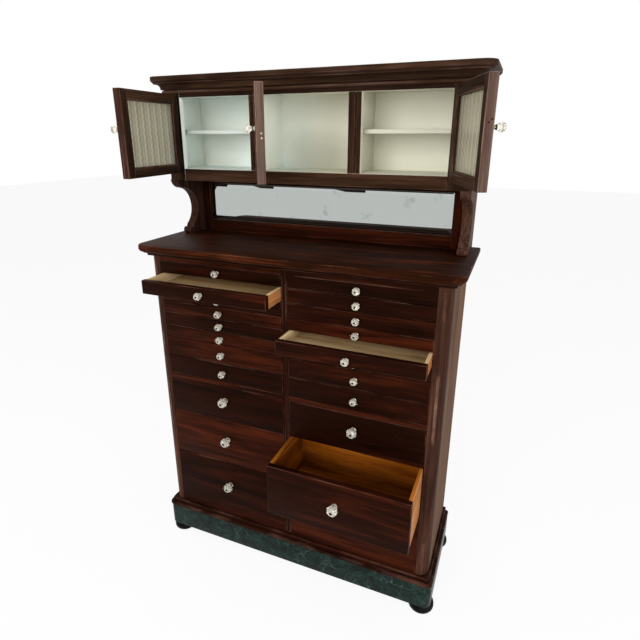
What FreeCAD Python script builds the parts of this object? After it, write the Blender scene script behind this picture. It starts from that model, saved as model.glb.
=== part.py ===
import FreeCAD, Part
import Sketcher
import math
import os

# Floor-standing dental cabinet: a chest with two columns of drawers on a marble plinth,
# a worktop, and a glazed wall case carried over a mirrored gallery by two scrolled brackets.
# Millimetres. X runs to the right, Y to the back and Z up. The origin is on the floor, midway
# between the four feet, so the centre plane is X = 0 and the chest is centred on Y = 0.

SIZES = [
    ("foot_height", 34), ("foot_diameter", 82), ("foot_inset", 15), ("foot_setback", 25),
    ("foot_shoulder", 11), ("ferrule_height", 7), ("ferrule_diameter", 46),
    ("plinth_height", 86), ("marble_thickness", 25), ("marble_projection", 18), ("marble_arris", 3),
    ("plinth_rail_thickness", 22),
    ("base_height", 24), ("base_projection", 19), ("base_toe", 11), ("base_step", 10),
    ("base_round", 7), ("base_hollow", 7),
    ("chest_width", 960), ("chest_depth", 338), ("side_thickness", 19),
    ("post_width", 38), ("post_radius", 30),
    ("partition_thickness", 18), ("partition_nose", 6), ("panel_thickness", 8),
    ("rail_height", 15), ("rail_depth", 20),
    ("row_1", 41), ("row_2", 45), ("row_3", 47), ("row_4", 39), ("row_5", 45), ("row_6", 45),
    ("row_7", 65), ("row_8", 69), ("row_9", 131), ("row_10", 171), ("row_11", 224),
    ("front_gap", 2), ("front_thickness", 18), ("front_arris", 1.2),
    ("box_inset", 1.5), ("box_wall", 10), ("box_floor", 5),
    ("box_relief", 2.4), ("box_length", 300), ("deep_box_length", 228),
    ("runner_thickness", 3.6), ("runner_bearing", 8), ("running_gap", 0.3), ("floor_rise", 6),
    ("knob_rise_9", 13), ("knob_rise_10", 10), ("knob_rise_11", 20),
    ("left_2_pulled", 94), ("right_5_pulled", 84), ("right_10_pulled", 160),
    ("knob_width", 23), ("knob_length", 25), ("deep_knob_width", 32), ("deep_knob_length", 33),
    ("cornice_board", 15), ("cornice_projection", 20), ("cornice_radius", 24), ("cornice_lip", 5),
    ("cornice_step", 12), ("cornice_hollow", 8),
    ("worktop_thickness", 22), ("worktop_side_overhang", 31), ("worktop_front_overhang", 40),
    ("worktop_radius", 44), ("worktop_arris", 3), ("worktop_nose", 12),
    ("gallery_height", 188), ("bracket_thickness", 29), ("bracket_bevel", 5),
    ("bracket_head_front", 24), ("bracket_head_height", 29), ("bracket_head_back", 12),
    ("bracket_head_radius", 40), ("bracket_neck_back", 29), ("bracket_neck_drop", 33),
    ("bracket_waist_back", 76), ("bracket_waist_height", 104), ("bracket_upper_radius", 68),
    ("bracket_lower_radius", 66), ("bracket_heel_back", 48), ("bracket_heel_height", 31),
    ("bracket_roll_back", 36), ("bracket_roll_radius", 11),
    ("mirror_stile", 30), ("mirror_bottom_rail", 39), ("mirror_top_rail", 20), ("mirror_lip", 12),
    ("mirror_front", 116), ("mirror_thickness", 5), ("mirror_backing", 8), ("mirror_rebate", 6),
    ("upper_width", 970), ("upper_front", 28), ("face_thickness", 18), ("divider_thickness", 12),
    ("upper_back_inset", 19), ("upper_radius", 15),
    ("upper_rail", 25), ("stop_height", 12), ("top_stop_height", 7.5),
    ("sight_height", 215), ("frieze_height", 16.5), ("outer_stile", 65),
    ("left_mullion_inner", 134), ("right_mullion_inner", 140), ("mullion_width", 38),
    ("deck_thickness", 15), ("shelf_thickness", 12), ("shelf_setback", 20), ("shelf_rise", 107),
    ("crown_height", 37), ("crown_board", 17), ("crown_projection", 33), ("crown_radius", 36),
    ("crown_fillet", 4), ("crown_fillet_step", 7), ("crown_bed_projection", 9), ("crown_hollow", 14),
    ("crown_arris", 2), ("crown_drip", 5), ("bead_height", 9), ("bead_drop", 3), ("bead_projection", 6),
    ("door_thickness", 22), ("door_gap", 1), ("door_stile", 20), ("door_free_stile", 27),
    ("door_rail", 23), ("door_lip", 9), ("lip_setback", 2), ("door_edge_lap", 3),
    ("left_meeting", 151.5), ("right_meeting", 150), ("door_gap_between", 5),
    ("pivot_beside", 3.2), ("pivot_stand", 5.5), ("middle_pivot_inset", 2.5),
    ("middle_pivot_stand", 2.8),
    ("pane_thickness", 3), ("bead_size", 6), ("door_knob_rise", 13.5),
    ("door_knob_width", 22), ("door_knob_length", 27),
    ("hinge_length", 42), ("hinge_inset", 26), ("hinge_leaf", 1), ("hinge_width", 18),
    ("hinge_barrel", 2.4), ("left_door_angle", 85.4), ("middle_door_angle", 60),
    ("right_door_angle", 110.7),
]

doc = FreeCAD.newDocument("dental_cabinet")
sheet = doc.addObject("Spreadsheet::Sheet", "sizes")
for row, (alias, number) in enumerate(SIZES, start=1):
    sheet.set(f"A{row}", alias.replace("_", " "))
    sheet.set(f"B{row}", str(number))
    sheet.setAlias(f"B{row}", alias)
doc.recompute()


class Length:
    """A number, and the spreadsheet expression that it comes from."""

    def __init__(self, number, text):
        self.number = float(number)
        self.text = text

    def join(self, other, sign, number):
        return Length(number, f"({self.text} {sign} {other.text})")

    def __add__(self, other):
        other = length(other)
        return self.join(other, "+", self.number + other.number)

    def __radd__(self, other):
        return length(other) + self

    def __sub__(self, other):
        other = length(other)
        return self.join(other, "-", self.number - other.number)

    def __rsub__(self, other):
        return length(other) - self

    def __mul__(self, other):
        other = length(other)
        return self.join(other, "*", self.number * other.number)

    def __rmul__(self, other):
        return length(other) * self

    def __truediv__(self, other):
        other = length(other)
        return self.join(other, "/", self.number / other.number)

    def __neg__(self):
        return length(0) - self


def length(value):
    return value if isinstance(value, Length) else Length(value, repr(value))


class Sizes:
    """The spreadsheet's cells by alias, so that size.row_1 is the cell named row_1."""

    def __getattr__(self, alias):
        return Length(float(sheet.get(alias)), f"sizes.{alias}")


size = Sizes()


# ---------------------------------------------------------------- making objects

def bind(thing, **properties):
    """Binds properties to lengths. X, Y and Z stand for the placement's position."""
    for name, value in properties.items():
        path = f"Placement.Base.{name.lower()}" if name in ("X", "Y", "Z") else name
        thing.setExpression(path, length(value).text)
    return thing


def board(name, x, y, z, dx, dy, dz):
    """A flat board, from its lowest corner and its three sides."""
    box = doc.addObject("Part::Box", name)
    return bind(box, X=x, Y=y, Z=z, Length=dx, Width=dy, Height=dz)


def knuckle_at(name, x, y, z, radius, height):
    """A hinge knuckle, rolled to a near circle of twelve sides."""
    rod = doc.addObject("Part::Prism", name)
    rod.Polygon = 12
    return bind(rod, X=x, Y=y, Z=z, Circumradius=radius, Height=height)


def mirrored(name, source):
    """The same piece on the other side of the centre plane."""
    twin = doc.addObject("Part::Mirroring", name)
    twin.Source = source
    twin.Normal = (1, 0, 0)
    return twin


def group(name, pieces):
    """Separate solids that belong to one named node."""
    compound = doc.addObject("Part::Compound", name)
    compound.Links = pieces
    compound.Label = name
    return compound


def body(name):
    made = doc.addObject("PartDesign::Body", name)
    made.Label = name
    return made


def sketch_on(owner, plane, name, offset=None):
    """A sketch on one of the body's own origin planes, moved along its normal by offset."""
    drawing = owner.newObject("Sketcher::SketchObject", name)
    face = next(f for f in owner.Origin.OriginFeatures if f.Role == plane)
    drawing.AttachmentSupport = [(face, "")]
    drawing.MapMode = "FlatFace"
    if offset is not None:
        drawing.setExpression("AttachmentOffset.Base.z", length(offset).text)
    return drawing


def line(x, y):
    """A straight edge to the point x, y."""
    return length(x), length(y), None, True


def arc(x, y, radius, turns_left):
    """A round edge to the point x, y, shorter than a half circle, turning left or right."""
    return length(x), length(y), length(radius), turns_left


def draw(drawing, edges, closed=True):
    """Draws the edges one after the other. The first only gives the starting point if the
    outline is open; a closed outline ends where its last edge does and starts there."""
    count = len(edges)
    first = 0 if closed else 1
    ends = []
    for index in range(first, count):
        x0, y0 = edges[index - 1][0], edges[index - 1][1]
        x1, y1, radius, turns_left = edges[index]
        start = FreeCAD.Vector(x0.number, y0.number, 0)
        end = FreeCAD.Vector(x1.number, y1.number, 0)
        if radius is None:
            made = drawing.addGeometry(Part.LineSegment(start, end))
            ends.append((made, 1, 2, x0, y0, x1, y1, None))
            continue
        chord = end - start
        rise = math.sqrt(max(radius.number ** 2 - (chord.Length / 2) ** 2, 0.0))
        side = FreeCAD.Vector(-chord.y, chord.x, 0) / chord.Length * (rise if turns_left else -rise)
        centre = (start + end) / 2 + side
        low, high = (start, end) if turns_left else (end, start)
        angle_low = math.atan2(low.y - centre.y, low.x - centre.x)
        angle_high = math.atan2(high.y - centre.y, high.x - centre.x)
        if angle_high < angle_low:
            angle_high += 2 * math.pi
        circle = Part.Circle(centre, FreeCAD.Vector(0, 0, 1), radius.number)
        made = drawing.addGeometry(Part.ArcOfCircle(circle, angle_low, angle_high))
        first_end, last_end = (1, 2) if turns_left else (2, 1)
        ends.append((made, first_end, last_end, x0, y0, x1, y1, radius))
    for index, (made, first_end, last_end, x0, y0, x1, y1, radius) in enumerate(ends):
        fix_point(drawing, made, first_end, x0, y0)
        if radius is not None:
            where = drawing.addConstraint(Sketcher.Constraint("Radius", made, radius.number))
            drawing.setExpression(f"Constraints[{where}]", radius.text)
        if closed or index + 1 < len(ends):
            after = ends[(index + 1) % len(ends)]
            drawing.addConstraint(Sketcher.Constraint("Coincident", made, last_end, after[0], after[1]))
        else:
            fix_point(drawing, made, last_end, x1, y1)


def fix_point(drawing, made, end, x, y):
    """Holds one end of an edge at x, y by two dimensions bound to the spreadsheet."""
    for kind, value in (("DistanceX", x), ("DistanceY", y)):
        where = drawing.addConstraint(Sketcher.Constraint(kind, -1, 1, made, end, value.number))
        drawing.setExpression(f"Constraints[{where}]", value.text)


def pad(owner, drawing, thickness):
    feature = owner.newObject("PartDesign::Pad", "Pad")
    feature.Profile = drawing
    feature.setExpression("Length", length(thickness).text)
    drawing.Visibility = False
    return feature


def extruded(name, plane, edges, thickness, x=0, y=0, z=0):
    """A body padded from one closed outline on the named plane."""
    made = body(name)
    drawing = sketch_on(made, plane, name + "_outline")
    draw(drawing, edges)
    pad(made, drawing, thickness)
    return bind(made, X=x, Y=y, Z=z)


def turned(name, edges, x=0, y=0, z=0):
    """A body turned about the upright axis, from half its section: x is the radius."""
    made = body(name)
    drawing = sketch_on(made, "XZ_Plane", name + "_section")
    draw(drawing, edges)
    feature = made.newObject("PartDesign::Revolution", "Revolution")
    feature.Profile = drawing
    feature.ReferenceAxis = (drawing, ["V_Axis"])
    feature.Angle = 360
    return bind(made, X=x, Y=y, Z=z)


def layered(name, layers, z):
    """A moulding built up from the bottom: each layer is its plan and its height."""
    made = body(name)
    level = length(0)
    for number, (edges, height) in enumerate(layers):
        drawing = sketch_on(made, "XY_Plane", f"{name}_plan_{number}", level)
        draw(drawing, edges)
        pad(made, drawing, height)
        level = level + height
    return bind(made, Z=z)


def rim_edges(made, z, half_width, front_y, cut_y):
    """The names of a body's level edges at height z, in its own frame, that lie on the plan's
    outline: half_width to each side and front_y to the front. The square cut at cut_y is left."""
    doc.recompute()
    names = []
    for number, edge in enumerate(made.Tip.Shape.Edges, start=1):
        corners = [vertex.Point for vertex in edge.Vertexes]
        level = all(same(corner.z, z) for corner in corners)
        rim = all(same(abs(corner.x), half_width) or same(corner.y, front_y) for corner in corners)
        if level and rim and not all(same(corner.y, cut_y) for corner in corners):
            names.append(f"Edge{number}")
    return names


def same(number, value):
    return abs(number - length(value).number) < 1e-4


def worked(made, kind, names, amount):
    """Rounds (Fillet) or bevels (Chamfer) the named edges of a body. A concave edge gets a hollow."""
    before = made.Tip
    feature = made.newObject("PartDesign::" + kind, kind)
    feature.Base = (before, names)
    feature.setExpression("Radius" if kind == "Fillet" else "Size", length(amount).text)
    made.Tip = feature
    return feature


def ring(radius, sides):
    """The outline of a regular polygon with a flat side on top."""
    turn = 2 * math.pi / sides
    corners = [(math.cos((n + 0.5) * turn), math.sin((n + 0.5) * turn)) for n in range(sides)]
    return [line(radius * round(u, 6), radius * round(v, 6)) for u, v in corners]


def copy_of(name, source, x, y, z, rotation=None):
    """The same piece again at another place."""
    link = doc.addObject("App::Link", name)
    link.LinkedObject = source
    if rotation is not None:
        link.Placement = FreeCAD.Placement(FreeCAD.Vector(), rotation)
    return bind(link, X=x, Y=y, Z=z)


# ---------------------------------------------------------------- shared levels and lines

half = size.chest_width / 2
back = size.chest_depth / 2
front = -back
base_z = size.foot_height + size.plinth_height
chest_z = base_z + size.base_height
opening_side = half - size.post_width
inner_side = half - size.side_thickness
partition_side = size.partition_thickness / 2
panel_front = back - size.panel_thickness
row_floor = {}
level = chest_z
for row in range(11, 0, -1):
    row_floor[row] = level
    level = level + getattr(size, f"row_{row}")
    if row == 9:
        rail_z = level
        level = level + size.rail_height
top_rail_z = level
cornice_z = top_rail_z + size.rail_height
worktop_z = cornice_z + size.cornice_board
gallery_z = worktop_z + size.worktop_thickness
upper_z = gallery_z + size.gallery_height
sight_z = upper_z + size.upper_rail + size.stop_height
frieze_z = sight_z + size.sight_height
crown_z = frieze_z + size.top_stop_height + size.frieze_height
upper_half = size.upper_width / 2
face = -size.upper_front
nodes = []


def finish(name, pieces):
    nodes.append(group(name, pieces))
    return nodes[-1]


# ---------------------------------------------------------------- knobs

def prism(name, radius, sides, start, thickness):
    """A regular prism that stands forward of the XZ plane, from start to start + thickness."""
    made = body(name)
    drawing = sketch_on(made, "XZ_Plane", name + "_outline", start)
    draw(drawing, ring(radius, sides))
    pad(made, drawing, thickness)
    return made


def bevel_end(made, y, along, across):
    """Bevels all the edges of the end face at y: along the prism, and across its end."""
    doc.recompute()
    shape = made.Tip.Shape
    plane = length(y).number
    faces = [f"Face{n}" for n, face in enumerate(shape.Faces, start=1)
             if abs(face.BoundBox.YMin - plane) < 1e-4 and abs(face.BoundBox.YMax - plane) < 1e-4]
    before = made.Tip
    feature = made.newObject("PartDesign::Chamfer", "Bevel")
    feature.Base = (before, faces)
    feature.ChamferType = "Two distances"
    feature.setExpression("Size", length(along).text)
    feature.setExpression("Size2", length(across).text)
    made.Tip = feature
    doc.recompute()
    return feature


def knob_parts(name, width, reach):
    """A metal ferrule and an eight-sided cut glass knob, on a face that looks forward."""
    ferrule = prism(name + "_ferrule", width * 0.3, 12, length(0), reach * 0.3)
    glass = prism(name + "_glass", width * 0.5, 8, reach * 0.3, reach * 0.7)
    bevel_end(glass, -reach, reach * 0.28, width * 0.17)
    bevel_end(glass, -(reach * 0.3), reach * 0.2, width * 0.17)
    return ferrule, glass


KNOBS = {
    "small": (knob_parts("small_knob", size.knob_width, size.knob_length)),
    "deep": (knob_parts("deep_knob", size.deep_knob_width, size.deep_knob_length)),
    "door": (knob_parts("door_knob", size.door_knob_width, size.door_knob_length)),
}


def glass_knob(name, kind, x, y, z):
    ferrule, glass = KNOBS[kind]
    return [copy_of(name + "_ferrule", ferrule, x, y, z), copy_of(name + "_glass", glass, x, y, z)]


# ---------------------------------------------------------------- drawers

def drawer_front(name, x, y, z, width, height):
    """A board with its four front arrises bevelled. Its back face is at y."""
    outline = [line(0, 0), line(width, 0), line(width, height), line(0, height)]
    made = extruded(name, "XZ_Plane", outline, size.front_thickness, x, y, z)
    bevel_end(made, -size.front_thickness, size.front_arris, size.front_arris)
    return made


def drawer(side, row):
    """One drawer: a front, two sides, a back and a floor as separate boards, and its knob."""
    name = f"drawer_{side}_{row:02d}"
    deep = row >= 9
    pulled = {"left_2": size.left_2_pulled, "right_5": size.right_5_pulled,
              "right_10": size.right_10_pulled}.get(f"{side}_{row}", length(0))
    reach = size.deep_box_length if deep else size.box_length
    height = getattr(size, f"row_{row}")
    gap = size.front_gap / 2
    if side == "right":
        low_x = partition_side + gap
    else:
        low_x = -opening_side + gap
    width = opening_side - partition_side - size.front_gap
    z = row_floor[row]
    y = front - pulled
    box_y = y + size.front_thickness
    box_z = z + size.runner_thickness / 2 + size.running_gap
    box_x = low_x + size.box_inset
    box_width = width - 2 * size.box_inset
    box_height = height - size.box_relief - (box_z - z)
    inside = box_width - 2 * size.box_wall
    pieces = [drawer_front(name + "_front", low_x, y + size.front_thickness, z + gap, width,
                           height - 2 * gap)]
    for hand, x in (("near", box_x), ("far", box_x + box_width - size.box_wall)):
        pieces.append(board(f"{name}_{hand}_side", x, box_y, box_z, size.box_wall, reach, box_height))
    pieces.append(board(name + "_back", box_x + size.box_wall, box_y + reach - size.box_wall, box_z,
                        inside, size.box_wall, box_height))
    pieces.append(board(name + "_floor", box_x + size.box_wall, box_y, box_z + size.floor_rise,
                        inside, reach - size.box_wall, size.box_floor))
    knob_z = z + height / 2
    if deep:
        knob_z = knob_z + getattr(size, f"knob_rise_{row}")
    pieces += glass_knob(name + "_knob", "deep" if deep else "small", low_x + width / 2, y, knob_z)
    finish(name, pieces)


for side in ("left", "right"):
    for row in range(1, 12):
        drawer(side, row)

# ---------------------------------------------------------------- chest

post_outline = [
    line(opening_side, front), line(half - size.post_radius, front),
    arc(half, front + size.post_radius, size.post_radius, True),
    line(half, front + size.post_width), line(opening_side, front + size.post_width),
]
chest_height = cornice_z - base_z
post_right = extruded("post_right", "XY_Plane", post_outline, chest_height, z=base_z)
side_board = board("side_board_right", inner_side, front + size.post_width, base_z,
                   size.side_thickness, size.chest_depth - size.post_width, chest_height)
finish("side_right", [post_right, side_board])
finish("side_left", [mirrored("post_left", post_right), mirrored("side_board_left", side_board)])

finish("case_back", [board("back_panel", -inner_side, panel_front, chest_z,
                           2 * inner_side, size.panel_thickness, cornice_z - chest_z)])

nose = size.partition_nose
partition_outline = [
    line(partition_side, panel_front), line(-partition_side, panel_front), line(-partition_side, front + nose),
    arc(-partition_side + nose, front, nose, True), line(partition_side - nose, front),
    arc(partition_side, front + nose, nose, True),
]
finish("centre_partition", [extruded("partition", "XY_Plane", partition_outline,
                                     cornice_z - chest_z, z=chest_z)])

slips = []
for row in range(1, 12):
    low = chest_z if row == 11 else row_floor[row] - size.runner_thickness / 2
    tall = size.runner_thickness / 2 if row == 11 else size.runner_thickness
    inner = board(f"inner_slip_{row}", partition_side, front + size.rail_depth, low,
                  size.box_inset + size.front_gap / 2 + size.runner_bearing,
                  panel_front - front - size.rail_depth, tall)
    outer_x = opening_side - size.front_gap / 2 - size.box_inset - size.runner_bearing
    outer = board(f"outer_slip_{row}", outer_x, front + size.post_width, low,
                  inner_side - outer_x, panel_front - front - size.post_width, tall)
    slips += [inner, outer, mirrored(f"inner_slip_left_{row}", inner),
              mirrored(f"outer_slip_left_{row}", outer)]
finish("runners", slips)

rails = []
for name, z in (("top_rail", top_rail_z), ("middle_rail", rail_z)):
    rail = board(name, partition_side, front, z, opening_side - partition_side,
                 size.rail_depth, size.rail_height)
    rails += [rail, mirrored(name + "_left", rail)]
finish("front_rails", rails)

# The floor of the chest fits between the posts, and rests on a plinth frame of four rails that
# stands on the feet and carries the marble.

post_back = front + size.post_width
floor_edge = board("floor_edge_right", opening_side, post_back, base_z,
                   inner_side - opening_side, back - post_back, size.base_height)
marble_half = half + size.marble_projection
marble_front = front - size.marble_projection
facing = size.marble_thickness
plinth_rail = size.plinth_rail_thickness
plinth_half = marble_half - facing
plinth_front = marble_front + facing
plinth_side = board("plinth_side_right", plinth_half - plinth_rail, plinth_front + plinth_rail,
                    size.foot_height, plinth_rail, back - plinth_front - 2 * plinth_rail,
                    size.plinth_height)
finish("bottom_frame", [
    board("chest_floor", -opening_side, front, base_z, 2 * opening_side, size.chest_depth,
          size.base_height),
    floor_edge, mirrored("floor_edge_left", floor_edge),
    board("plinth_front_rail", -plinth_half, plinth_front, size.foot_height, 2 * plinth_half,
          plinth_rail, size.plinth_height),
    board("plinth_back_rail", -plinth_half, back - plinth_rail, size.foot_height, 2 * plinth_half,
          plinth_rail, size.plinth_height),
    plinth_side, mirrored("plinth_side_left", plinth_side)])

# The base moulding is three runs: the front with both rounded corners, and a return at each side.

def run_outline(outer_x, outer_y, inner_y, radius):
    """The plan of a front run whose two outer corners are rounded."""
    return [
        line(outer_x, inner_y), line(-outer_x, inner_y), line(-outer_x, outer_y + radius),
        arc(-outer_x + radius, outer_y, radius, True), line(outer_x - radius, outer_y),
        arc(outer_x, outer_y + radius, radius, True),
    ]


base_half = half + size.base_projection
base_front = front - size.base_projection
step = size.base_step
base_radius = size.base_projection - 1
toe = size.base_toe
neck = size.base_height - toe
base_run = layered("base_front", [
    (run_outline(base_half, base_front, front, base_radius), toe),
    (run_outline(base_half - step, base_front + step, front, base_radius - step), neck)], base_z)
worked(base_run, "Fillet", rim_edges(base_run, toe, base_half, base_front, front), size.base_round)
base_return = body("base_return_right")
return_section = [
    line(0, 0), line(size.base_projection, 0), line(size.base_projection, toe - size.base_round),
    arc(size.base_projection - size.base_round, toe, size.base_round, True),
    line(size.base_projection - step, toe), line(size.base_projection - step, size.base_height),
    line(0, size.base_height)]
return_drawing = sketch_on(base_return, "XZ_Plane", "base_return_section")
draw(return_drawing, return_section)
pad(base_return, return_drawing, size.chest_depth)
bind(base_return, X=half, Y=back, Z=base_z)
finish("base_moulding", [base_run, base_return, mirrored("base_return_left", base_return)])

marble_run = extruded("marble_front", "XY_Plane",
                      run_outline(marble_half, marble_front, plinth_front, facing - 1),
                      size.plinth_height, z=size.foot_height)
worked(marble_run, "Chamfer", rim_edges(marble_run, size.plinth_height, marble_half, marble_front,
                                        plinth_front), size.marble_arris)
marble_section = [
    line(0, 0), line(facing, 0), line(facing, size.plinth_height - size.marble_arris),
    line(facing - size.marble_arris, size.plinth_height), line(0, size.plinth_height)]
marble_return = extruded("marble_return_right", "XZ_Plane", marble_section, back - plinth_front,
                         plinth_half, back, size.foot_height)
finish("marble_plinth", [marble_run, marble_return, mirrored("marble_return_left", marble_return)])

foot_x = half - size.foot_inset
foot_y = back - size.foot_setback
foot_radius = size.foot_diameter / 2
ferrule_radius = size.ferrule_diameter / 2
pad_top = size.foot_height - size.ferrule_height
shoulder = size.foot_shoulder
foot_section = [
    line(0, 0), line(foot_radius, 0), line(foot_radius, pad_top - shoulder), line(foot_radius - shoulder, pad_top),
    line(ferrule_radius, pad_top), line(ferrule_radius, size.foot_height), line(0, size.foot_height),
]
feet = []
for name, x, y in (("front_right", foot_x, -foot_y), ("front_left", -foot_x, -foot_y),
                   ("back_right", foot_x, foot_y), ("back_left", -foot_x, foot_y)):
    if feet:
        feet.append(copy_of("foot_" + name, feet[0], x, y, 0))
    else:
        feet.append(turned("foot_" + name, foot_section, x, y, 0))
finish("feet", feet)

# ---------------------------------------------------------------- worktop and gallery

cornice_half = half + size.cornice_projection
cornice_front = front - size.cornice_projection
slab_half = half + size.worktop_side_overhang
slab_front = front - size.worktop_front_overhang


def slab_outline(outer_x, outer_y, inner_y, radius):
    """The plan of a board whose two front corners are rounded."""
    return run_outline(outer_x, outer_y, inner_y, length(radius))


cove = size.cornice_step
lip = size.cornice_board - size.cornice_lip
cornice = layered("cornice", [
    (slab_outline(cornice_half - cove, cornice_front + cove, back, size.cornice_radius - cove), lip),
    (slab_outline(cornice_half, cornice_front, back, size.cornice_radius), size.cornice_lip)], cornice_z)
worked(cornice, "Fillet", rim_edges(cornice, lip, cornice_half - cove, cornice_front + cove, back),
       size.cornice_hollow)
finish("worktop_moulding", [cornice])

worktop = extruded("worktop_slab", "XY_Plane",
                   slab_outline(slab_half, slab_front, back, size.worktop_radius),
                   size.worktop_thickness, z=worktop_z)
worked(worktop, "Chamfer", rim_edges(worktop, size.worktop_thickness, slab_half, slab_front, back),
       size.worktop_arris)
worked(worktop, "Fillet", rim_edges(worktop, 0, slab_half, slab_front, back), size.worktop_nose)
finish("worktop", [worktop])

# Each bracket is sawn from one thick board: a round head under the wall case, a deep hollow and a
# roll at the foot, with the long front arrises bevelled.

roll = size.bracket_roll_radius
bracket_outline = [
    line(back, 0), line(back, size.gallery_height), line(-size.bracket_head_front, size.gallery_height),
    arc(size.bracket_head_back, size.gallery_height - size.bracket_head_height,
        size.bracket_head_radius, True),
    line(size.bracket_neck_back, size.gallery_height - size.bracket_neck_drop),
    arc(size.bracket_waist_back, size.bracket_waist_height, size.bracket_upper_radius, False),
    arc(size.bracket_heel_back, size.bracket_heel_height, size.bracket_lower_radius, False),
    line(size.bracket_roll_back + roll * 0.6, roll * 1.8),
    arc(size.bracket_roll_back - roll, roll, roll, True), arc(size.bracket_roll_back, 0, roll, True),
]
bracket_right = extruded("bracket_right_board", "YZ_Plane", bracket_outline, size.bracket_thickness,
                         x=upper_half - size.bracket_thickness, z=gallery_z)
doc.recompute()
arrises = []
for number, thing in enumerate(bracket_right.Tip.Shape.Edges, start=1):
    middle = thing.CenterOfMass
    if same(thing.BoundBox.XLength, 0) and middle.y < back.number - 1:
        if size.bracket_roll_radius.number * 2 < middle.z < size.gallery_height.number - 1:
            arrises.append(f"Edge{number}")
worked(bracket_right, "Chamfer", arrises, size.bracket_bevel)
finish("bracket_right", [bracket_right])
finish("bracket_left", [mirrored("bracket_left_board", bracket_right)])

mirror_half = upper_half - size.bracket_thickness
mirror_front = size.mirror_front
glass_front = mirror_front + size.mirror_lip
pane_half = mirror_half - size.mirror_stile
frame_pieces = [
    board("mirror_bottom_rail", -pane_half, mirror_front, gallery_z, 2 * pane_half,
          size.mirror_lip, size.mirror_bottom_rail),
    board("mirror_top_rail", -pane_half, mirror_front, upper_z - size.mirror_top_rail, 2 * pane_half,
          size.mirror_lip, size.mirror_top_rail),
]
mirror_stile = board("mirror_stile_right", pane_half, mirror_front, gallery_z, size.mirror_stile,
                     size.mirror_lip, size.gallery_height)
frame_pieces += [mirror_stile, mirrored("mirror_stile_left", mirror_stile)]
finish("mirror_frame", frame_pieces)
pane_z = gallery_z + size.mirror_bottom_rail - size.mirror_rebate
pane_tall = size.gallery_height - size.mirror_bottom_rail - size.mirror_top_rail + 2 * size.mirror_rebate
finish("mirror_glass", [board("mirror_pane", -pane_half - size.mirror_rebate, glass_front, pane_z,
                              2 * (pane_half + size.mirror_rebate), size.mirror_thickness, pane_tall)])
finish("mirror_back", [board("mirror_panel", -mirror_half, glass_front + size.mirror_thickness, gallery_z,
                             2 * mirror_half, size.mirror_backing, size.gallery_height)])

# ---------------------------------------------------------------- wall case

frame_back = face + size.face_thickness
upper_inner = upper_half - size.side_thickness
case_height = crown_z - upper_z
upper_side = board("upper_side_right", upper_inner, frame_back, upper_z, size.side_thickness,
                   back - frame_back, case_height)
finish("upper_sides", [upper_side, mirrored("upper_side_left", upper_side)])
deck = size.deck_thickness
upper_back = back - size.upper_back_inset
inside_depth = upper_back - frame_back
finish("upper_top", [board("upper_roof", -upper_inner, frame_back, crown_z - deck,
                           2 * upper_inner, inside_depth, deck)])
finish("upper_bottom", [
    board("soffit", -upper_inner, frame_back, upper_z, 2 * upper_inner, inside_depth, deck),
    board("upper_deck", -upper_inner, frame_back, sight_z - deck, 2 * upper_inner, inside_depth, deck)])
finish("upper_back", [board("upper_panel", -upper_inner, upper_back, upper_z,
                            2 * upper_inner, size.panel_thickness, case_height)])
sight_out = upper_half - size.outer_stile
lower_tall = sight_z - upper_z


def on_side(side, low, wide):
    """The lowest x of a piece that starts at low from the centre plane and is wide."""
    return low if side == "right" else -(low + wide)


dividers = []
mullions = []
shelves = []
for side, inner in (("left", size.left_mullion_inner), ("right", size.right_mullion_inner)):
    thin = size.divider_thickness
    divider_low = inner + (size.mullion_width - thin) / 2
    dividers.append(board("divider_" + side, on_side(side, divider_low, thin), frame_back, sight_z, thin,
                          inside_depth, crown_z - deck - sight_z))
    mullions.append(board("mullion_" + side, on_side(side, inner, size.mullion_width), face, sight_z,
                          size.mullion_width, size.face_thickness, size.sight_height))
    shelf_low = divider_low + thin
    shelf_wide = upper_inner - shelf_low
    shelves.append(board("shelf_" + side, on_side(side, shelf_low, shelf_wide),
                         frame_back + size.shelf_setback, sight_z + size.shelf_rise, shelf_wide,
                         inside_depth - size.shelf_setback, size.shelf_thickness))
finish("upper_partitions", dividers)
outer_stile_outline = [
    line(sight_out, face), line(upper_half - size.upper_radius, face),
    arc(upper_half, face + size.upper_radius, size.upper_radius, True),
    line(upper_half, frame_back), line(sight_out, frame_back),
]
outer_stile = extruded("outer_stile_right", "XY_Plane", outer_stile_outline, case_height, z=upper_z)
finish("face_frame", [
    board("lower_rail", -sight_out, face, upper_z, 2 * sight_out, size.face_thickness, lower_tall),
    board("frieze_rail", -sight_out, face, frieze_z, 2 * sight_out, size.face_thickness,
          crown_z - frieze_z),
    outer_stile, mirrored("outer_stile_left", outer_stile)] + mullions)
finish("shelves", shelves)

# The crown is a fascia over a small fillet and a hollow, with a half-round bead below it.

crown_half = upper_half + size.crown_projection
crown_front = face - size.crown_projection
hook = size.crown_fillet_step
bed_half = upper_half + size.crown_bed_projection
bed_front = face - size.crown_bed_projection
bed_tall = size.crown_height - size.crown_board - size.crown_fillet
fascia_low = size.crown_height - size.crown_board
crown = layered("crown_cornice", [
    (slab_outline(bed_half, bed_front, back, size.upper_radius + size.crown_bed_projection), bed_tall),
    (slab_outline(crown_half - hook, crown_front + hook, back, size.crown_radius - hook),
     size.crown_fillet),
    (slab_outline(crown_half, crown_front, back, size.crown_radius), size.crown_board)], crown_z)


worked(crown, "Fillet", rim_edges(crown, bed_tall, bed_half, bed_front, back), size.crown_hollow)
worked(crown, "Chamfer", rim_edges(crown, fascia_low, crown_half, crown_front, back), size.crown_drip)
worked(crown, "Chamfer", rim_edges(crown, size.crown_height, crown_half, crown_front, back),
       size.crown_arris)

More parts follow.
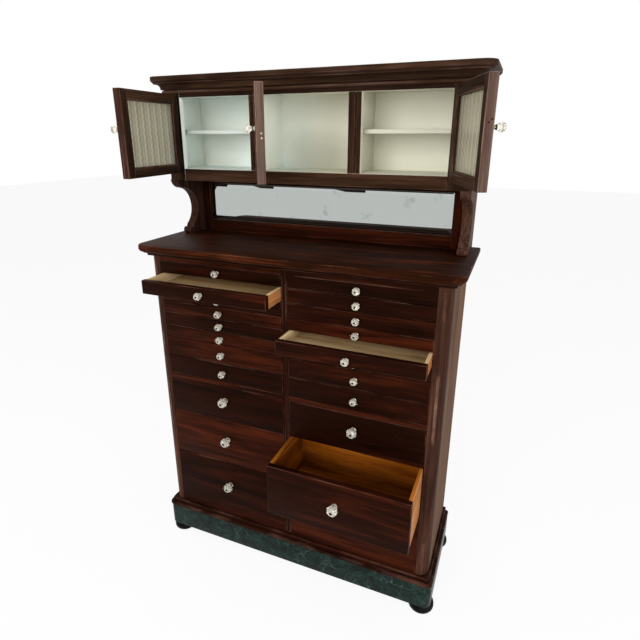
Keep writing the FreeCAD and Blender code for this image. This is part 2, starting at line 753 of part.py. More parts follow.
bead_out = size.bead_projection
inner_y = face + size.upper_radius
bead_outline = [
    line(upper_half, back), line(upper_half, inner_y),
    arc(upper_half - size.upper_radius, face, size.upper_radius, False),
    line(-upper_half + size.upper_radius, face),
    arc(-upper_half, inner_y, size.upper_radius, False), line(-upper_half, back),
    line(-upper_half - bead_out, back), line(-upper_half - bead_out, inner_y),
    arc(-upper_half + size.upper_radius, face - bead_out, size.upper_radius + bead_out, True),
    line(upper_half - size.upper_radius, face - bead_out),
    arc(upper_half + bead_out, inner_y, size.upper_radius + bead_out, True),
    line(upper_half + bead_out, back),
]
bead = extruded("crown_bead", "XY_Plane", bead_outline, size.bead_height,
                z=crown_z - size.bead_drop - size.bead_height)
for z in (length(0), size.bead_height):
    worked(bead, "Chamfer", rim_edges(bead, z, upper_half + bead_out, face - bead_out, back),
           size.bead_height / 3)
finish("crown", [crown, bead])

# ---------------------------------------------------------------- glazed doors

door_low = sight_z - size.stop_height
door_tall = size.sight_height + size.stop_height + size.top_stop_height
door_front = face - size.door_gap - size.door_thickness
hinge_z = (door_low + size.hinge_inset, door_low + door_tall - size.hinge_inset - size.hinge_length)
knuckle = size.hinge_length / 3
leaf = size.hinge_leaf
play = size.running_gap


def placed(name, pieces, x, y, turn):
    """A node of a door, swung about its upright hinge line at x, y."""
    node = finish(name, pieces)
    node.Placement.Rotation = FreeCAD.Rotation(FreeCAD.Vector(0, 0, 1), turn.number)
    bind(node, X=x, Y=y)
    node.setExpression("Placement.Rotation.Angle", turn.text)
    return node


def door(side, pivot_x, pivot_y, hinge_edge, free_edge, hand, angle):
    """One glazed door, drawn closed with its hinge line at x = 0, y = 0 and then swung open.
    hand is 1 for a door that reaches to the right of its hinge line and -1 for one to the left."""
    name = "door_" + side
    near_y = door_front - pivot_y
    far_y = near_y + size.door_thickness
    width = (free_edge - hinge_edge) * hand
    start = (hinge_edge - pivot_x) * hand

    def piece(label, u, y, z, du, dy, dz):
        x = u if hand > 0 else -(u + du)
        return board(f"{name}_{label}", x, y, z, du, dy, dz)

    thick = size.door_thickness
    free_stile = size.door_free_stile
    sight_u = start + size.door_stile
    sight_w = width - size.door_stile - free_stile
    rail_low = door_low + size.door_rail
    sight_tall = door_tall - 2 * size.door_rail
    bead = size.bead_size
    pane_y = near_y + size.door_lip
    pieces = [
        piece("hinge_stile", start, near_y, door_low, size.door_stile, thick, door_tall),
        piece("free_stile", start + width - free_stile, near_y, door_low, free_stile, thick, door_tall),
        piece("lower_rail", sight_u, near_y, door_low, sight_w, thick, size.door_rail),
        piece("upper_rail", sight_u, near_y, rail_low + sight_tall, sight_w, thick, size.door_rail),
    ]
    behind = pane_y + size.pane_thickness
    for label, y, deep in (("lip", near_y + size.lip_setback, size.door_lip - size.lip_setback),
                           ("bead", behind, far_y - behind - size.lip_setback)):
        pieces += [
            piece(label + "_low", sight_u, y, rail_low, sight_w, deep, bead),
            piece(label + "_high", sight_u, y, rail_low + sight_tall - bead, sight_w, deep, bead),
            piece(label + "_near", sight_u, y, rail_low + bead, bead, deep, sight_tall - 2 * bead),
            piece(label + "_far", sight_u + sight_w - bead, y, rail_low + bead, bead, deep,
                  sight_tall - 2 * bead),
        ]
    placed(name + "_frame", pieces, pivot_x, pivot_y, angle)
    placed(name + "_glass", [piece("pane", sight_u, pane_y, rail_low, sight_w,
                                   size.pane_thickness, sight_tall)], pivot_x, pivot_y, angle)
    knob_u = start + width - free_stile / 2
    knob_x = knob_u if hand > 0 else -knob_u
    ferrule, glass = glass_knob(name + "_knob", "door", knob_x, near_y,
                                door_low + door_tall / 2 + size.door_knob_rise)
    placed(name + "_knob", [glass], pivot_x, pivot_y, angle)
    fittings = [ferrule]
    for number, low in enumerate(hinge_z):
        z = low + knuckle + play
        tall = knuckle - 2 * play
        fittings.append(knuckle_at(f"{name}_knuckle_{number}", 0, 0, z, size.hinge_barrel, tall))
        if side == "middle":
            fittings.append(piece(f"leaf_{number}", start, 0, z, size.hinge_width, near_y, tall))
        else:
            fittings.append(piece(f"leaf_{number}", 0, -leaf / 2, z, start, leaf, tall))
    placed(name + "_fittings", fittings, pivot_x, pivot_y, angle)


edge = sight_out + size.door_edge_lap
between = size.door_gap_between / 2
side_pivot = edge + size.pivot_beside
pivot_y = face - size.pivot_stand
middle_hinge_edge = -size.left_meeting + between
middle_pivot_x = middle_hinge_edge + size.middle_pivot_inset
middle_pivot_y = door_front - size.middle_pivot_stand
door("left", -side_pivot, pivot_y, -edge, -size.left_meeting - between, 1, -size.left_door_angle)
door("middle", middle_pivot_x, middle_pivot_y, middle_hinge_edge, size.right_meeting - between, 1,
     -size.middle_door_angle)
door("right", side_pivot, pivot_y, edge, size.right_meeting + between, -1, size.right_door_angle)

# The fixed half of each hinge: two end knuckles, and a leaf that carries them to the case. The
# middle door's leaf comes forward between the two doors and turns in to its hinge line.

hinges = []
web_x = middle_hinge_edge - play - leaf
for number, low in enumerate(hinge_z):
    plate = board(f"hinge_plate_{number}", side_pivot - leaf / 2, face - leaf, low, size.hinge_width,
                  leaf, size.hinge_length)
    hinges += [plate, mirrored(f"hinge_plate_left_{number}", plate)]
    for end, z in (("low", low), ("high", low + 2 * knuckle)):
        label = f"{number}_{end}"
        barrel = knuckle_at(f"fixed_knuckle_{label}", side_pivot, pivot_y, z, size.hinge_barrel, knuckle)
        web = board(f"fixed_web_{label}", side_pivot - leaf / 2, pivot_y, z, leaf,
                    face - leaf - pivot_y, knuckle)
        hinges += [barrel, web, mirrored(f"fixed_knuckle_left_{label}", barrel),
                   mirrored(f"fixed_web_left_{label}", web)]
        hinges.append(knuckle_at(f"middle_knuckle_{label}", middle_pivot_x, middle_pivot_y, z,
                               size.hinge_barrel, knuckle))
        hinges.append(board(f"middle_strip_{label}", web_x, middle_pivot_y - leaf / 2, z,
                            middle_pivot_x - web_x, leaf, knuckle))
        hinges.append(board(f"middle_web_{label}", web_x, middle_pivot_y + leaf / 2, z,
                            leaf, face - middle_pivot_y - leaf / 2, knuckle))
finish("door_hinges", hinges)

# ---------------------------------------------------------------- checks and export

doc.recompute()
for thing in doc.Objects:
    bad = [state for state in thing.State if state in ("Invalid", "Error")]
    if bad:
        raise RuntimeError(f"{thing.Label}: {bad}")
os.makedirs("parts", exist_ok=True)
for node in nodes:
    shape = node.Shape
    if shape.isNull() or not shape.isValid() or not shape.Solids:
        raise RuntimeError(f"{node.Label}: its shape is missing or not valid")
    shape.exportStep(f"parts/{node.Label}.step")
print(len(nodes), "nodes")
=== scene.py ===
import math
import random

import bmesh
import bpy
from mathutils import Matrix, Vector


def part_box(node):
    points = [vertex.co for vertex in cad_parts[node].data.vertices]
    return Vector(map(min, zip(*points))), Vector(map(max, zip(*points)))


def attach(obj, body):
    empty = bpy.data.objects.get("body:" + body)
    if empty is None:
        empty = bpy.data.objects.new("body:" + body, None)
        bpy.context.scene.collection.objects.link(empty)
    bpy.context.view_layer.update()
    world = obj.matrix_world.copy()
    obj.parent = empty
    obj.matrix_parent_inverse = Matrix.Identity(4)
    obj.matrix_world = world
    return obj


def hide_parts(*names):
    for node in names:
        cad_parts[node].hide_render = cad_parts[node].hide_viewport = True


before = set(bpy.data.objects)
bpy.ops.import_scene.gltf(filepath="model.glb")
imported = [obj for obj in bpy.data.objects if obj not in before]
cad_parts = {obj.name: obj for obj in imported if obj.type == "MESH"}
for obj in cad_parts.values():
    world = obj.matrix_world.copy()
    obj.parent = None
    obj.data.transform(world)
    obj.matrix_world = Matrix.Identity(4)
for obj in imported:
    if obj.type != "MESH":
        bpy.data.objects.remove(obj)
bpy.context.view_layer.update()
MM = 0.001
BODY = "cabinet"
dice = random.Random(7)


# ---------------------------------------------------------------- shader helpers

class Shader:
    """A node material with short calls for the nodes that it uses most. A value given to a socket
    is a link where it is another socket, and a constant otherwise."""

    def __init__(self, name):
        self.material = bpy.data.materials.new(name)
        self.material.use_nodes = True
        self.tree = self.material.node_tree
        self.surface = self.tree.nodes["Principled BSDF"]

    def node(self, kind, **inputs):
        """A node with its inputs set. A name that starts with p_ sets a property."""
        made = self.tree.nodes.new(kind)
        for key, value in inputs.items():
            if key.startswith("p_"):
                setattr(made, key[2:], value)
            else:
                self.feed(made.inputs[key.replace("_", " ")], value)
        return made

    def feed(self, socket, value):
        if isinstance(value, bpy.types.NodeSocket):
            self.tree.links.new(value, socket)
        else:
            socket.default_value = value

    def attribute(self, name):
        return self.node("ShaderNodeAttribute", p_attribute_name=name)

    def stretch(self, vector, scale, shift=(0, 0, 0)):
        made = self.node("ShaderNodeMapping", Vector=vector, Scale=scale, Location=shift)
        return made.outputs["Vector"]

    def noise(self, vector, scale=1.0, detail=4.0, roughness=0.55, distortion=0.0):
        made = self.node("ShaderNodeTexNoise", Vector=vector, Scale=scale, Detail=detail,
                         Roughness=roughness, Distortion=distortion)
        return made.outputs["Fac"]

    def ramp(self, factor, stops):
        """A linear ramp. Each stop is a place and a colour, or a place and a grey level."""
        made = self.node("ShaderNodeValToRGB", Fac=factor)
        elements = made.color_ramp.elements
        while len(elements) < len(stops):
            elements.new(0.5)
        for element, (place, colour) in zip(elements, stops):
            colour = (colour,) * 3 if isinstance(colour, float) else colour
            element.position = place
            element.color = (*colour, 1.0)
        return made.outputs["Color"]

    def math(self, what, first, second=0.0, third=0.0):
        made = self.tree.nodes.new("ShaderNodeMath")
        made.operation = what
        for socket, value in zip(made.inputs, (first, second, third)):
            self.feed(socket, value)
        return made.outputs[0]

    def mix(self, factor, first, second, blend="MIX"):
        made = self.tree.nodes.new("ShaderNodeMix")
        made.data_type = "RGBA"
        made.blend_type = blend
        self.feed(made.inputs[0], factor)
        for socket, value in ((made.inputs[6], first), (made.inputs[7], second)):
            self.feed(socket, (*value, 1.0) if isinstance(value, tuple) else value)
        return made.outputs[2]

    def bump(self, height, strength=0.2, distance=0.001):
        made = self.node("ShaderNodeBump", Height=height, Strength=strength, Distance=distance)
        self.feed(self.surface.inputs["Normal"], made.outputs["Normal"])

    def set(self, **inputs):
        for key, value in inputs.items():
            self.feed(self.surface.inputs[key.replace("_", " ")], value)
        return self.material


def srgb(red, green, blue):
    """The linear colour of an 8-bit display colour."""
    return tuple((c / 255 / 12.92) if c <= 10 else ((c / 255 + 0.055) / 1.055) ** 2.4
                 for c in (red, green, blue))


def wood(name, dark, middle, light, worn_and_lit, gloss=0.5, figure=1.0, scuff=0.5):
    """Wood with long grain and pores, and edges paled by a mask that is partly wearing and, in
    places, a painted highlight. The grain attribute's x runs along the fibres.
    """
    s = Shader(name)
    grain = s.attribute("grain").outputs["Vector"]
    tone = s.attribute("tone").outputs["Fac"]
    wear_and_highlight = s.attribute("wear_and_highlight").outputs["Fac"]
    bands = s.noise(s.stretch(grain, (1.1, 13, 13)), 1.6 * figure, 5, 0.6, 0.9)
    fibres = s.noise(s.stretch(grain, (3.0, 150, 150)), 2.2, 3, 0.65)
    pores = s.noise(s.stretch(grain, (22, 900, 900)), 1.0, 2, 0.5)
    blend = s.math("ADD", s.math("MULTIPLY", bands, 0.62), s.math("MULTIPLY", fibres, 0.38))
    blend = s.math("ADD", blend, s.math("MULTIPLY", s.math("SUBTRACT", tone, 0.5), 0.16))
    colour = s.ramp(blend, [(0.34, dark), (0.5, middle), (0.69, light)])
    dots = s.ramp(pores, [(0.30, 0.62), (0.42, 1.0)])
    colour = s.mix(0.75, colour, dots, "MULTIPLY")
    cloud = s.noise(s.stretch(grain, (7, 16, 16)), 1.0, 5, 0.6)
    # The masked edges take the pale colour, as wearing and, on some moulding rows and the corner
    # posts, as a painted highlight.
    rubbed_and_lit = s.math("MULTIPLY", wear_and_highlight, s.ramp(cloud, [(0.46, 0.03), (0.66, 0.62)]))
    colour = s.mix(rubbed_and_lit, colour, worn_and_lit)
    marks = s.noise(s.stretch(grain, (40, 130, 130)), 1.0, 5, 0.75)
    specks = s.ramp(marks, [(0.66, 0.0), (0.74, 1.0)])
    colour = s.mix(s.math("MULTIPLY", specks, scuff * 0.35), colour, worn_and_lit)
    haze = s.noise(s.stretch(grain, (5, 9, 9), (3, 1, 2)), 1.0, 4, 0.6)
    rough = s.math("MULTIPLY_ADD", haze, 0.22, gloss - 0.11)
    s.bump(s.math("ADD", fibres, s.math("MULTIPLY", pores, 0.6)), 0.16, 0.0006)
    return s.set(Base_Color=colour, Roughness=rough, Specular_IOR_Level=0.035,
                 Specular_Tint=(1.0, 0.6, 0.42, 1.0))


def painted(name, colour, grime_and_shade):
    """Old brushed paint with faint strokes. It is dusty in patches, and it carries painted shade
    across the cabinet: lighter and bluer at the left, darker and creamier toward the right."""
    s = Shader(name)
    grain = s.attribute("grain").outputs["Vector"]
    clouds = s.noise(s.stretch(grain, (2.4, 4.5, 4.5)), 1.0, 4, 0.55)
    strokes = s.noise(s.stretch(grain, (6, 240, 240)), 1.0, 3, 0.5)
    place = s.node("ShaderNodeTexCoord").outputs["Object"]
    right = s.node("ShaderNodeSeparateXYZ", Vector=place).outputs["X"]
    # Painted shade: the colour runs from the lighter, bluer one at the left of the cabinet to the
    # darker, creamier one at the right.
    shade_across = s.ramp(s.math("MULTIPLY_ADD", right, 1.6, 0.5), [(0.15, colour), (0.55, grime_and_shade)])
    mixed = s.mix(s.ramp(clouds, [(0.35, 0.0), (0.72, 0.75)]), shade_across, grime_and_shade)
    mixed = s.mix(0.1, mixed, s.ramp(strokes, [(0.3, 0.7), (0.7, 1.0)]), "MULTIPLY")
    wear_and_highlight = s.attribute("wear_and_highlight").outputs["Fac"]
    mixed = s.mix(s.math("MULTIPLY", wear_and_highlight, 0.35), mixed, grime_and_shade)
    s.bump(strokes, 0.12, 0.0005)
    return s.set(Base_Color=mixed, Roughness=0.46, Specular_IOR_Level=0.4)


def marble(name):
    """Dark green serpentine marble, clouded with black and crossed by thin pale veins."""
    s = Shader(name)
    place = s.node("ShaderNodeTexCoord").outputs["Object"]
    warp = s.node("ShaderNodeTexNoise", Vector=place, Scale=9.0, Detail=5.0, Roughness=0.6)
    bent = s.node("ShaderNodeVectorMath", p_operation="MULTIPLY_ADD")
    s.feed(bent.inputs[0], warp.outputs["Color"])
    bent.inputs[1].default_value = (0.11, 0.11, 0.11)
    s.feed(bent.inputs[2], place)
    clouds = s.noise(bent.outputs[0], 34, 9, 0.74, 0.8)
    colour = s.ramp(clouds, [(0.38, srgb(4, 8, 8)), (0.49, srgb(9, 23, 20)),
                             (0.6, srgb(17, 38, 32)), (0.76, srgb(50, 76, 66))])
    veins = None
    for scale, width, strength in ((13.0, 0.006, 0.4), (48.0, 0.012, 0.3)):
        cells = s.node("ShaderNodeTexVoronoi", Vector=bent.outputs[0], Scale=scale,
                       p_feature="DISTANCE_TO_EDGE").outputs["Distance"]
        line = s.ramp(cells, [(0.0, strength), (width, strength * 0.45), (width * 3.5, 0.0)])
        gate = s.ramp(s.noise(place, scale * 0.6, 3, 0.5), [(0.5, 0.0), (0.62, 1.0)])
        line = s.math("MULTIPLY", line, gate)
        veins = line if veins is None else s.math("MAXIMUM", veins, line)
    colour = s.mix(veins, colour, srgb(92, 116, 102))
    rough = s.math("MULTIPLY_ADD", clouds, 0.3, 0.16)
    return s.set(Base_Color=colour, Roughness=rough, Specular_IOR_Level=0.14)


def clear_glass(name):
    """Cut glass, slightly cream and clouded with age."""
    s = Shader(name)
    place = s.node("ShaderNodeTexCoord").outputs["Object"]
    clouds = s.noise(place, 240, 3, 0.5)
    colour = s.mix(clouds, (0.95, 0.91, 0.82), (0.78, 0.74, 0.64))
    s.bump(clouds, 0.05, 0.0004)
    return s.set(Base_Color=colour, Roughness=0.02, Transmission_Weight=0.74, IOR=1.5)


def metal(name, bright, dull, rough):
    """Aged metal, clouded between a bright and a dull tone."""
    s = Shader(name)
    place = s.node("ShaderNodeTexCoord").outputs["Object"]
    clouds = s.noise(place, 130, 5, 0.6)
    colour = s.ramp(clouds, [(0.34, dull), (0.62, bright)])
    s.bump(s.noise(place, 900, 2, 0.5), 0.08, 0.0003)
    return s.set(Base_Color=colour, Roughness=s.math("MULTIPLY_ADD", clouds, 0.25, rough - 0.1),
                 Metallic=1.0)


def silvering(name):
    """A mirror: bright silver behind glass, with the silvering foxed in places."""
    s = Shader(name)
    place = s.node("ShaderNodeTexCoord").outputs["Object"]
    clouds = s.noise(place, 16, 6, 0.65)
    spots = s.ramp(clouds, [(0.2, 0.75), (0.4, 0.0)])
    colour = s.mix(spots, srgb(186, 191, 188), srgb(122, 112, 96))
    return s.set(Base_Color=colour, Roughness=0.015, Metallic=1.0)


def rippled_glass(name):
    """Cream cast glass with wavering upright ribs, broad ones crossed by fine ones."""
    s = Shader(name)
    grain = s.attribute("grain").outputs["Vector"]
    sway = s.noise(s.stretch(grain, (60, 60, 60)), 1.0, 2, 0.5)
    parts = s.node("ShaderNodeSeparateXYZ", Vector=grain)
    along, across = parts.outputs["X"], parts.outputs["Y"]
    wave = s.math("SINE", s.math("ADD", s.math("MULTIPLY", along, 330.0),
                                 s.math("MULTIPLY", sway, 2.0)))
    phase = s.math("ADD", s.math("MULTIPLY", across, 430.0), s.math("MULTIPLY", wave, 0.6))
    fine = s.math("MULTIPLY_ADD", s.math("SINE", phase), 0.26, 0.5)
    broad = s.math("SINE", s.math("MULTIPLY_ADD", wave, 0.45, s.math("MULTIPLY", across, 215.0)))
    ribs = s.math("MULTIPLY_ADD", broad, 0.24, fine)
    colour = s.ramp(ribs, [(0.0, srgb(138, 128, 101)), (0.45, srgb(160, 151, 124)),
                           (1.0, srgb(196, 188, 157))])
    clouds = s.noise(s.stretch(grain, (9, 9, 9)), 1.0, 3, 0.5)
    colour = s.mix(s.math("MULTIPLY", clouds, 0.35), colour, srgb(206, 206, 196))
    s.bump(ribs, 0.5, 0.0012)
    return s.set(Base_Color=colour, Roughness=0.2, Transmission_Weight=0.35, IOR=1.5)


MAHOGANY = wood("mahogany", srgb(13, 4, 2), srgb(29, 9, 4), srgb(64, 25, 11), srgb(98, 68, 56))
MAHOGANY_TOP = wood("mahogany_top", srgb(18, 6, 2), srgb(36, 14, 5), srgb(92, 40, 16),
                    srgb(112, 72, 50), gloss=0.56, figure=1.3, scuff=0.25)
MAHOGANY_UPPER = wood("mahogany_upper", srgb(21, 12, 7), srgb(42, 27, 18), srgb(75, 51, 37),
                      srgb(110, 84, 74), scuff=0.6)
# The chest's side panels: a much lighter copy of the mahogany, with painted light and sheen in its
# colour.
MAHOGANY_SIDE_LIT = wood("mahogany_side_painted_light", srgb(54, 34, 21), srgb(90, 61, 42), srgb(118, 84, 59),
                     srgb(136, 108, 84), gloss=0.62, scuff=0.3)
# The corner posts: a lighter copy of the mahogany, with painted light in its colour for the light
# falling on their rounds.
MAHOGANY_POST_LIT = wood("mahogany_post_painted_light", srgb(29, 16, 11), srgb(55, 33, 24), srgb(88, 57, 45),
                     srgb(120, 92, 78), scuff=0.6)
CARVED = wood("mahogany_carved", srgb(30, 16, 12), srgb(54, 34, 27), srgb(84, 58, 48),
              srgb(112, 86, 74), figure=3.0, scuff=1.2)
DOOR_EDGE = wood("door_edge", srgb(54, 39, 34), srgb(84, 66, 58), srgb(110, 89, 80),
                 srgb(158, 130, 118), scuff=0.8)
AMBER = wood("amber_lining", srgb(84, 38, 7), srgb(140, 76, 18), srgb(178, 108, 38),
             srgb(212, 156, 90), scuff=0.2)
DRAWER_SIDE = wood("drawer_side", srgb(110, 60, 28), srgb(156, 98, 54), srgb(188, 134, 84),
                   srgb(214, 172, 124), gloss=0.55, scuff=0.3)
PALE_LINING = wood("pale_lining", srgb(140, 106, 66), srgb(186, 156, 112), srgb(216, 192, 150),
                   srgb(226, 206, 170), gloss=0.55, scuff=0.2)
BACKING = wood("backing_board", srgb(92, 64, 38), srgb(134, 98, 60), srgb(166, 128, 86),
               srgb(176, 142, 102), gloss=0.62, scuff=0.3)
PAINT = painted("shelf_paint", srgb(240, 250, 246), srgb(224, 222, 204))
# A darker copy of the interior paint for the shelves: painted shade that holds their lit front
# edges down.
SHADED_SHELF_PAINT = painted("shelf_paint_with_painted_shade", srgb(196, 206, 200), srgb(190, 188, 170))
MARBLE = marble("green_marble")
GLASS = clear_glass("knob_glass")
BRASS = metal("aged_brass", srgb(206, 186, 140), srgb(120, 96, 60), 0.32)
HINGE = metal("hinge_metal", srgb(66, 50, 34), srgb(30, 22, 16), 0.45)
NICKEL = metal("ferrule_metal", srgb(206, 200, 186), srgb(128, 116, 98), 0.28)
IRON = metal("foot_iron", srgb(30, 28, 28), srgb(16, 15, 15), 0.5)
MIRROR = silvering("mirror_silver")
RIPPLED = rippled_glass("rippled_glass")


# ---------------------------------------------------------------- mesh helpers

class Piece:
    """A mesh of boards and turned or swept parts. Every vertex keeps its place in the wood in
    grain: x along the fibres. A loop attribute is 1 on paled edges, which show wearing and, on some
    moulding rows and the corner posts, a painted highlight; tone is one number for each board."""

    def __init__(self, name, *materials):
        self.name = name
        self.materials = materials
        self.mesh = bmesh.new()
        verts, loops = self.mesh.verts.layers, self.mesh.loops.layers
        self.grain = verts.float_vector.new("grain")
        self.tone = verts.float.new("tone")
        self.wear_and_highlight = loops.float.new("wear_and_highlight")

    def absorb(self, part, along, material, wear_and_highlight=None, tone=None, lined=None):
        """Joins a bmesh, with the fibres along the axis x, y or z. The edge mask gives a number for
        each vertex, or a set of paled faces, and lined a material for the faces that look one way."""
        order = {"x": (0, 1, 2), "y": (1, 0, 2), "z": (2, 0, 1)}[along]
        shift = Vector((dice.uniform(0, 9), dice.uniform(0, 9), dice.uniform(0, 9)))
        tone = dice.random() if tone is None else tone
        part.verts.index_update()
        part.faces.index_update()
        part.normal_update()
        copies = []
        for vert in part.verts:
            made = self.mesh.verts.new(vert.co)
            made[self.grain] = Vector([vert.co[i] for i in order]) + shift
            made[self.tone] = tone
            copies.append(made)
        for face in part.faces:
            made = self.mesh.faces.new([copies[v.index] for v in face.verts])
            made.material_index = material
            for (axis, sign), other in (lined or {}).items():
                if face.normal[axis] * sign > 0.9:
                    made.material_index = other
            made.smooth = face.smooth
            for loop, source in zip(made.loops, face.loops):
                if isinstance(wear_and_highlight, set):
                    loop[self.wear_and_highlight] = float(face.index in wear_and_highlight)
                elif wear_and_highlight and len(face.verts) == 4:
                    loop[self.wear_and_highlight] = wear_and_highlight[source.vert.index]
        part.free()

    def board(self, low, high, along="x", ease=1.2, steps=2, material=0, lined=None):
        """A board from two corners in millimetres, with its edges eased."""
        part = bmesh.new()
        low, high = Vector(low) * MM, Vector(high) * MM
        centre, span = (low + high) / 2, high - low
        place = Matrix.Translation(centre) @ Matrix.Diagonal((*span, 1))
        bmesh.ops.create_cube(part, size=1.0, matrix=place)
        ease = min(ease * MM, min(span) * 0.4)
        bmesh.ops.bevel(part, geom=part.edges[:], offset=ease, segments=steps, profile=0.5,
                        affect="EDGES")
        part.faces.index_update()
        part.normal_update()
        worn_and_lit = set()
        for face in part.faces:
            if max(abs(c) for c in face.normal) < 0.999:
                face.smooth = True
                worn_and_lit.add(face.index)
        self.absorb(part, along, material, worn_and_lit, lined=lined)

    def prism(self, outline, low, high, axis="z", material=0, bevel=0.0, chosen=None, lined=None,
              rubbed_and_lit=None):
        """An outline in the two axes after axis, x or z, carried from low to high, with upright
        fibres. The end arrises whose middle passes chosen are rounded by bevel, and the faces
        whose normal passes the test given are paled, as wearing and, on the corner posts, as a
        painted highlight."""
        part = bmesh.new()
        ends = []
        for level in (low, high):
            points = [(level, a, b) if axis == "x" else (a, b, level) for a, b in outline]
            ends.append([part.verts.new(Vector(point) * MM) for point in points])
        for i in range(len(outline)):
            j = (i + 1) % len(outline)
            part.faces.new((ends[0][i], ends[0][j], ends[1][j], ends[1][i]))
        part.faces.new(list(reversed(ends[0])))
        part.faces.new(ends[1])
        bmesh.ops.recalc_face_normals(part, faces=part.faces[:])
        worn_and_lit = set()
        if bevel:
            edges = []
            for ring in ends:
                for i in range(len(ring)):
                    edge = part.edges.get((ring[i], ring[(i + 1) % len(ring)]))
                    middle = (edge.verts[0].co + edge.verts[1].co) / 2 / MM
                    if chosen(middle):
                        edges.append(edge)
            made = bmesh.ops.bevel(part, geom=edges, offset=bevel * MM, segments=3, profile=0.5,
                                   affect="EDGES", clamp_overlap=True)
            part.faces.index_update()
            worn_and_lit = set(f.index for f in made["faces"])
        if rubbed_and_lit:
            part.faces.index_update()
            part.normal_update()
            worn_and_lit |= {face.index for face in part.faces if rubbed_and_lit(face.normal)}
        for face in part.faces:
            face.smooth = True
        self.absorb(part, "z", material, worn_and_lit, lined=lined)

    def moulding(self, rows, half, front, solid=True, tone=None, steps=12):
        """Carries rows of projection, height, corner radius and edge paling round the front and
        both sides, in millimetres; the paling is wearing, and on some rows a painted highlight. A
        solid one is a whole slab, the other a hollow run."""
        part = bmesh.new()
        wear_and_highlight, rings = [], []
        for out, z, radius, rub_and_highlight in rows:
            x, y = half + out - radius, front - out + radius
            outline = [(half + out, BACK)] + arc((x, y), radius, 0, -90, steps) + \
                arc((-x, y), radius, -90, -180, steps) + [(-half - out, BACK)]
            rings.append([part.verts.new(Vector((a, b, z)) * MM) for a, b in outline])
            wear_and_highlight += [rub_and_highlight] * len(outline)
        spans = list(zip(rings, rings[1:]))
        if not solid:
            spans.append((rings[-1], rings[0]))
        for first, second in spans:
            for j in range(len(first) - 1):
                part.faces.new((first[j], first[j + 1], second[j + 1], second[j]))
        starts, ends = [ring[0] for ring in rings], [ring[-1] for ring in rings]
        if solid:
            for corners in (rings[0], rings[-1], starts + ends[::-1]):
                part.faces.new(corners)
        else:
            part.faces.new(starts)
            part.faces.new(ends)
        bmesh.ops.recalc_face_normals(part, faces=part.faces[:])
        for face in part.faces:
            face.smooth = len(face.verts) == 4
        self.absorb(part, "x", 0, wear_and_highlight, tone)

    def lathe(self, profile, centre, axis, sides=32, material=0, smooth=True):
        """Turns pairs of radius and height about an axis through centre."""
        part = bmesh.new()
        axis = Vector(axis).normalized()
        turn = Vector((0, 0, 1)).rotation_difference(axis).to_matrix().to_4x4()
        place = Matrix.Translation(centre) @ turn
        rings = []
        turns = [2 * math.pi * (i + 0.5) / sides for i in range(sides)]
        for radius, height in profile:
            ring = [(radius * math.cos(a), radius * math.sin(a), height) for a in turns]
            if radius == 0:
                ring = [(0, 0, height)]
            rings.append([part.verts.new(place @ Vector(point)) for point in ring])
        for first, second in zip(rings, rings[1:]):
            for i in range(sides):
                j = (i + 1) % sides
                corners = [first[i % len(first)], first[j % len(first)],
                           second[j % len(second)], second[i % len(second)]]
                corners = list(dict.fromkeys(corners))
                if len(corners) > 2:
                    part.faces.new(corners)
        bmesh.ops.recalc_face_normals(part, faces=part.faces[:])
        for face in part.faces:
            face.smooth = smooth
        self.absorb(part, "z", material)

    def done(self, body, *nodes, slot, place=None, sharp=30):
        """Makes the object, moved by place. It rides on body and replaces nodes."""
        mesh = bpy.data.meshes.new(self.name)
        if place is not None:
            self.mesh.transform(place)
        self.mesh.to_mesh(mesh)
        self.mesh.free()
        for material in self.materials:
            mesh.materials.append(material)
        mesh.set_sharp_from_angle(angle=math.radians(sharp))
        made = bpy.data.objects.new(self.name, mesh)
        bpy.context.scene.collection.objects.link(made)
        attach(made, body)
        if nodes:
            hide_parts(*nodes)
        return made


def arc(centre, radius, start, end, steps):
    """Points on a round edge, with angles in degrees."""
    turns = [math.radians(start + (end - start) * i / steps) for i in range(steps + 1)]
    return [(centre[0] + radius * math.cos(t), centre[1] + radius * math.sin(t)) for t in turns]


def hollow(centre, radius, start, end, steps, first_corner, last_corner, rub_and_highlight=0.0):
    """Moulding rows along a round: the corner radius runs evenly from the first to the last."""
    rows = []
    for i, (out, z) in enumerate(arc(centre, radius, start, end, steps)):
        rows.append((out, z, first_corner + (last_corner - first_corner) * i / steps, rub_and_highlight))
    return rows


def metres(profile):
    """A profile in metres from one in millimetres."""
    return [(out * MM, z * MM) for out, z in profile]


def extent(node):
    """The two corners of a CAD node in millimetres."""
    low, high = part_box(node)
    return low / MM, high / MM


# ---------------------------------------------------------------- sizes read from the frame

work_low, work_high = extent("worktop")
case_low, case_high = extent("case_back")
right_low, right_high = extent("side_right")
marble_low, marble_high = extent("marble_plinth")
base_low, base_high = extent("base_moulding")
under_low, under_high = extent("worktop_moulding")
face_low, face_high = extent("face_frame")
crown_high = extent("crown")[1]
HALF, BACK, FRONT = right_high.x, right_high.y, right_low.y
POST = right_high.x - right_low.x
SIDE_THICK = 19


# ---------------------------------------------------------------- knobs

# Profiles as shares of the knob's radius and of its reach.
FERRULE = ((0, 0), (0.56, 0), (0.6, 0.03), (0.56, 0.08), (0.42, 0.12), (0.38, 0.2), (0.48, 0.25),
           (0.56, 0.3), (0.5, 0.34), (0, 0.34))
ROUND_CUT = ((0, 0.31), (0.5, 0.31), (0.8, 0.4), (0.99, 0.53), (0.99, 0.7), (0.86, 0.87),
             (0.58, 0.985), (0.3, 0.995), (0, 0.93))
FLARED_CUT = ((0, 0.31), (0.46, 0.31), (0.66, 0.42), (0.86, 0.58), (0.99, 0.74), (0.93, 0.87),
              (0.66, 0.985), (0.3, 0.995), (0, 0.93))
SCREW_HEAD = ((0, 0.925), (0.3, 0.935), (0.3, 0.985), (0.16, 0.998), (0, 0.998))


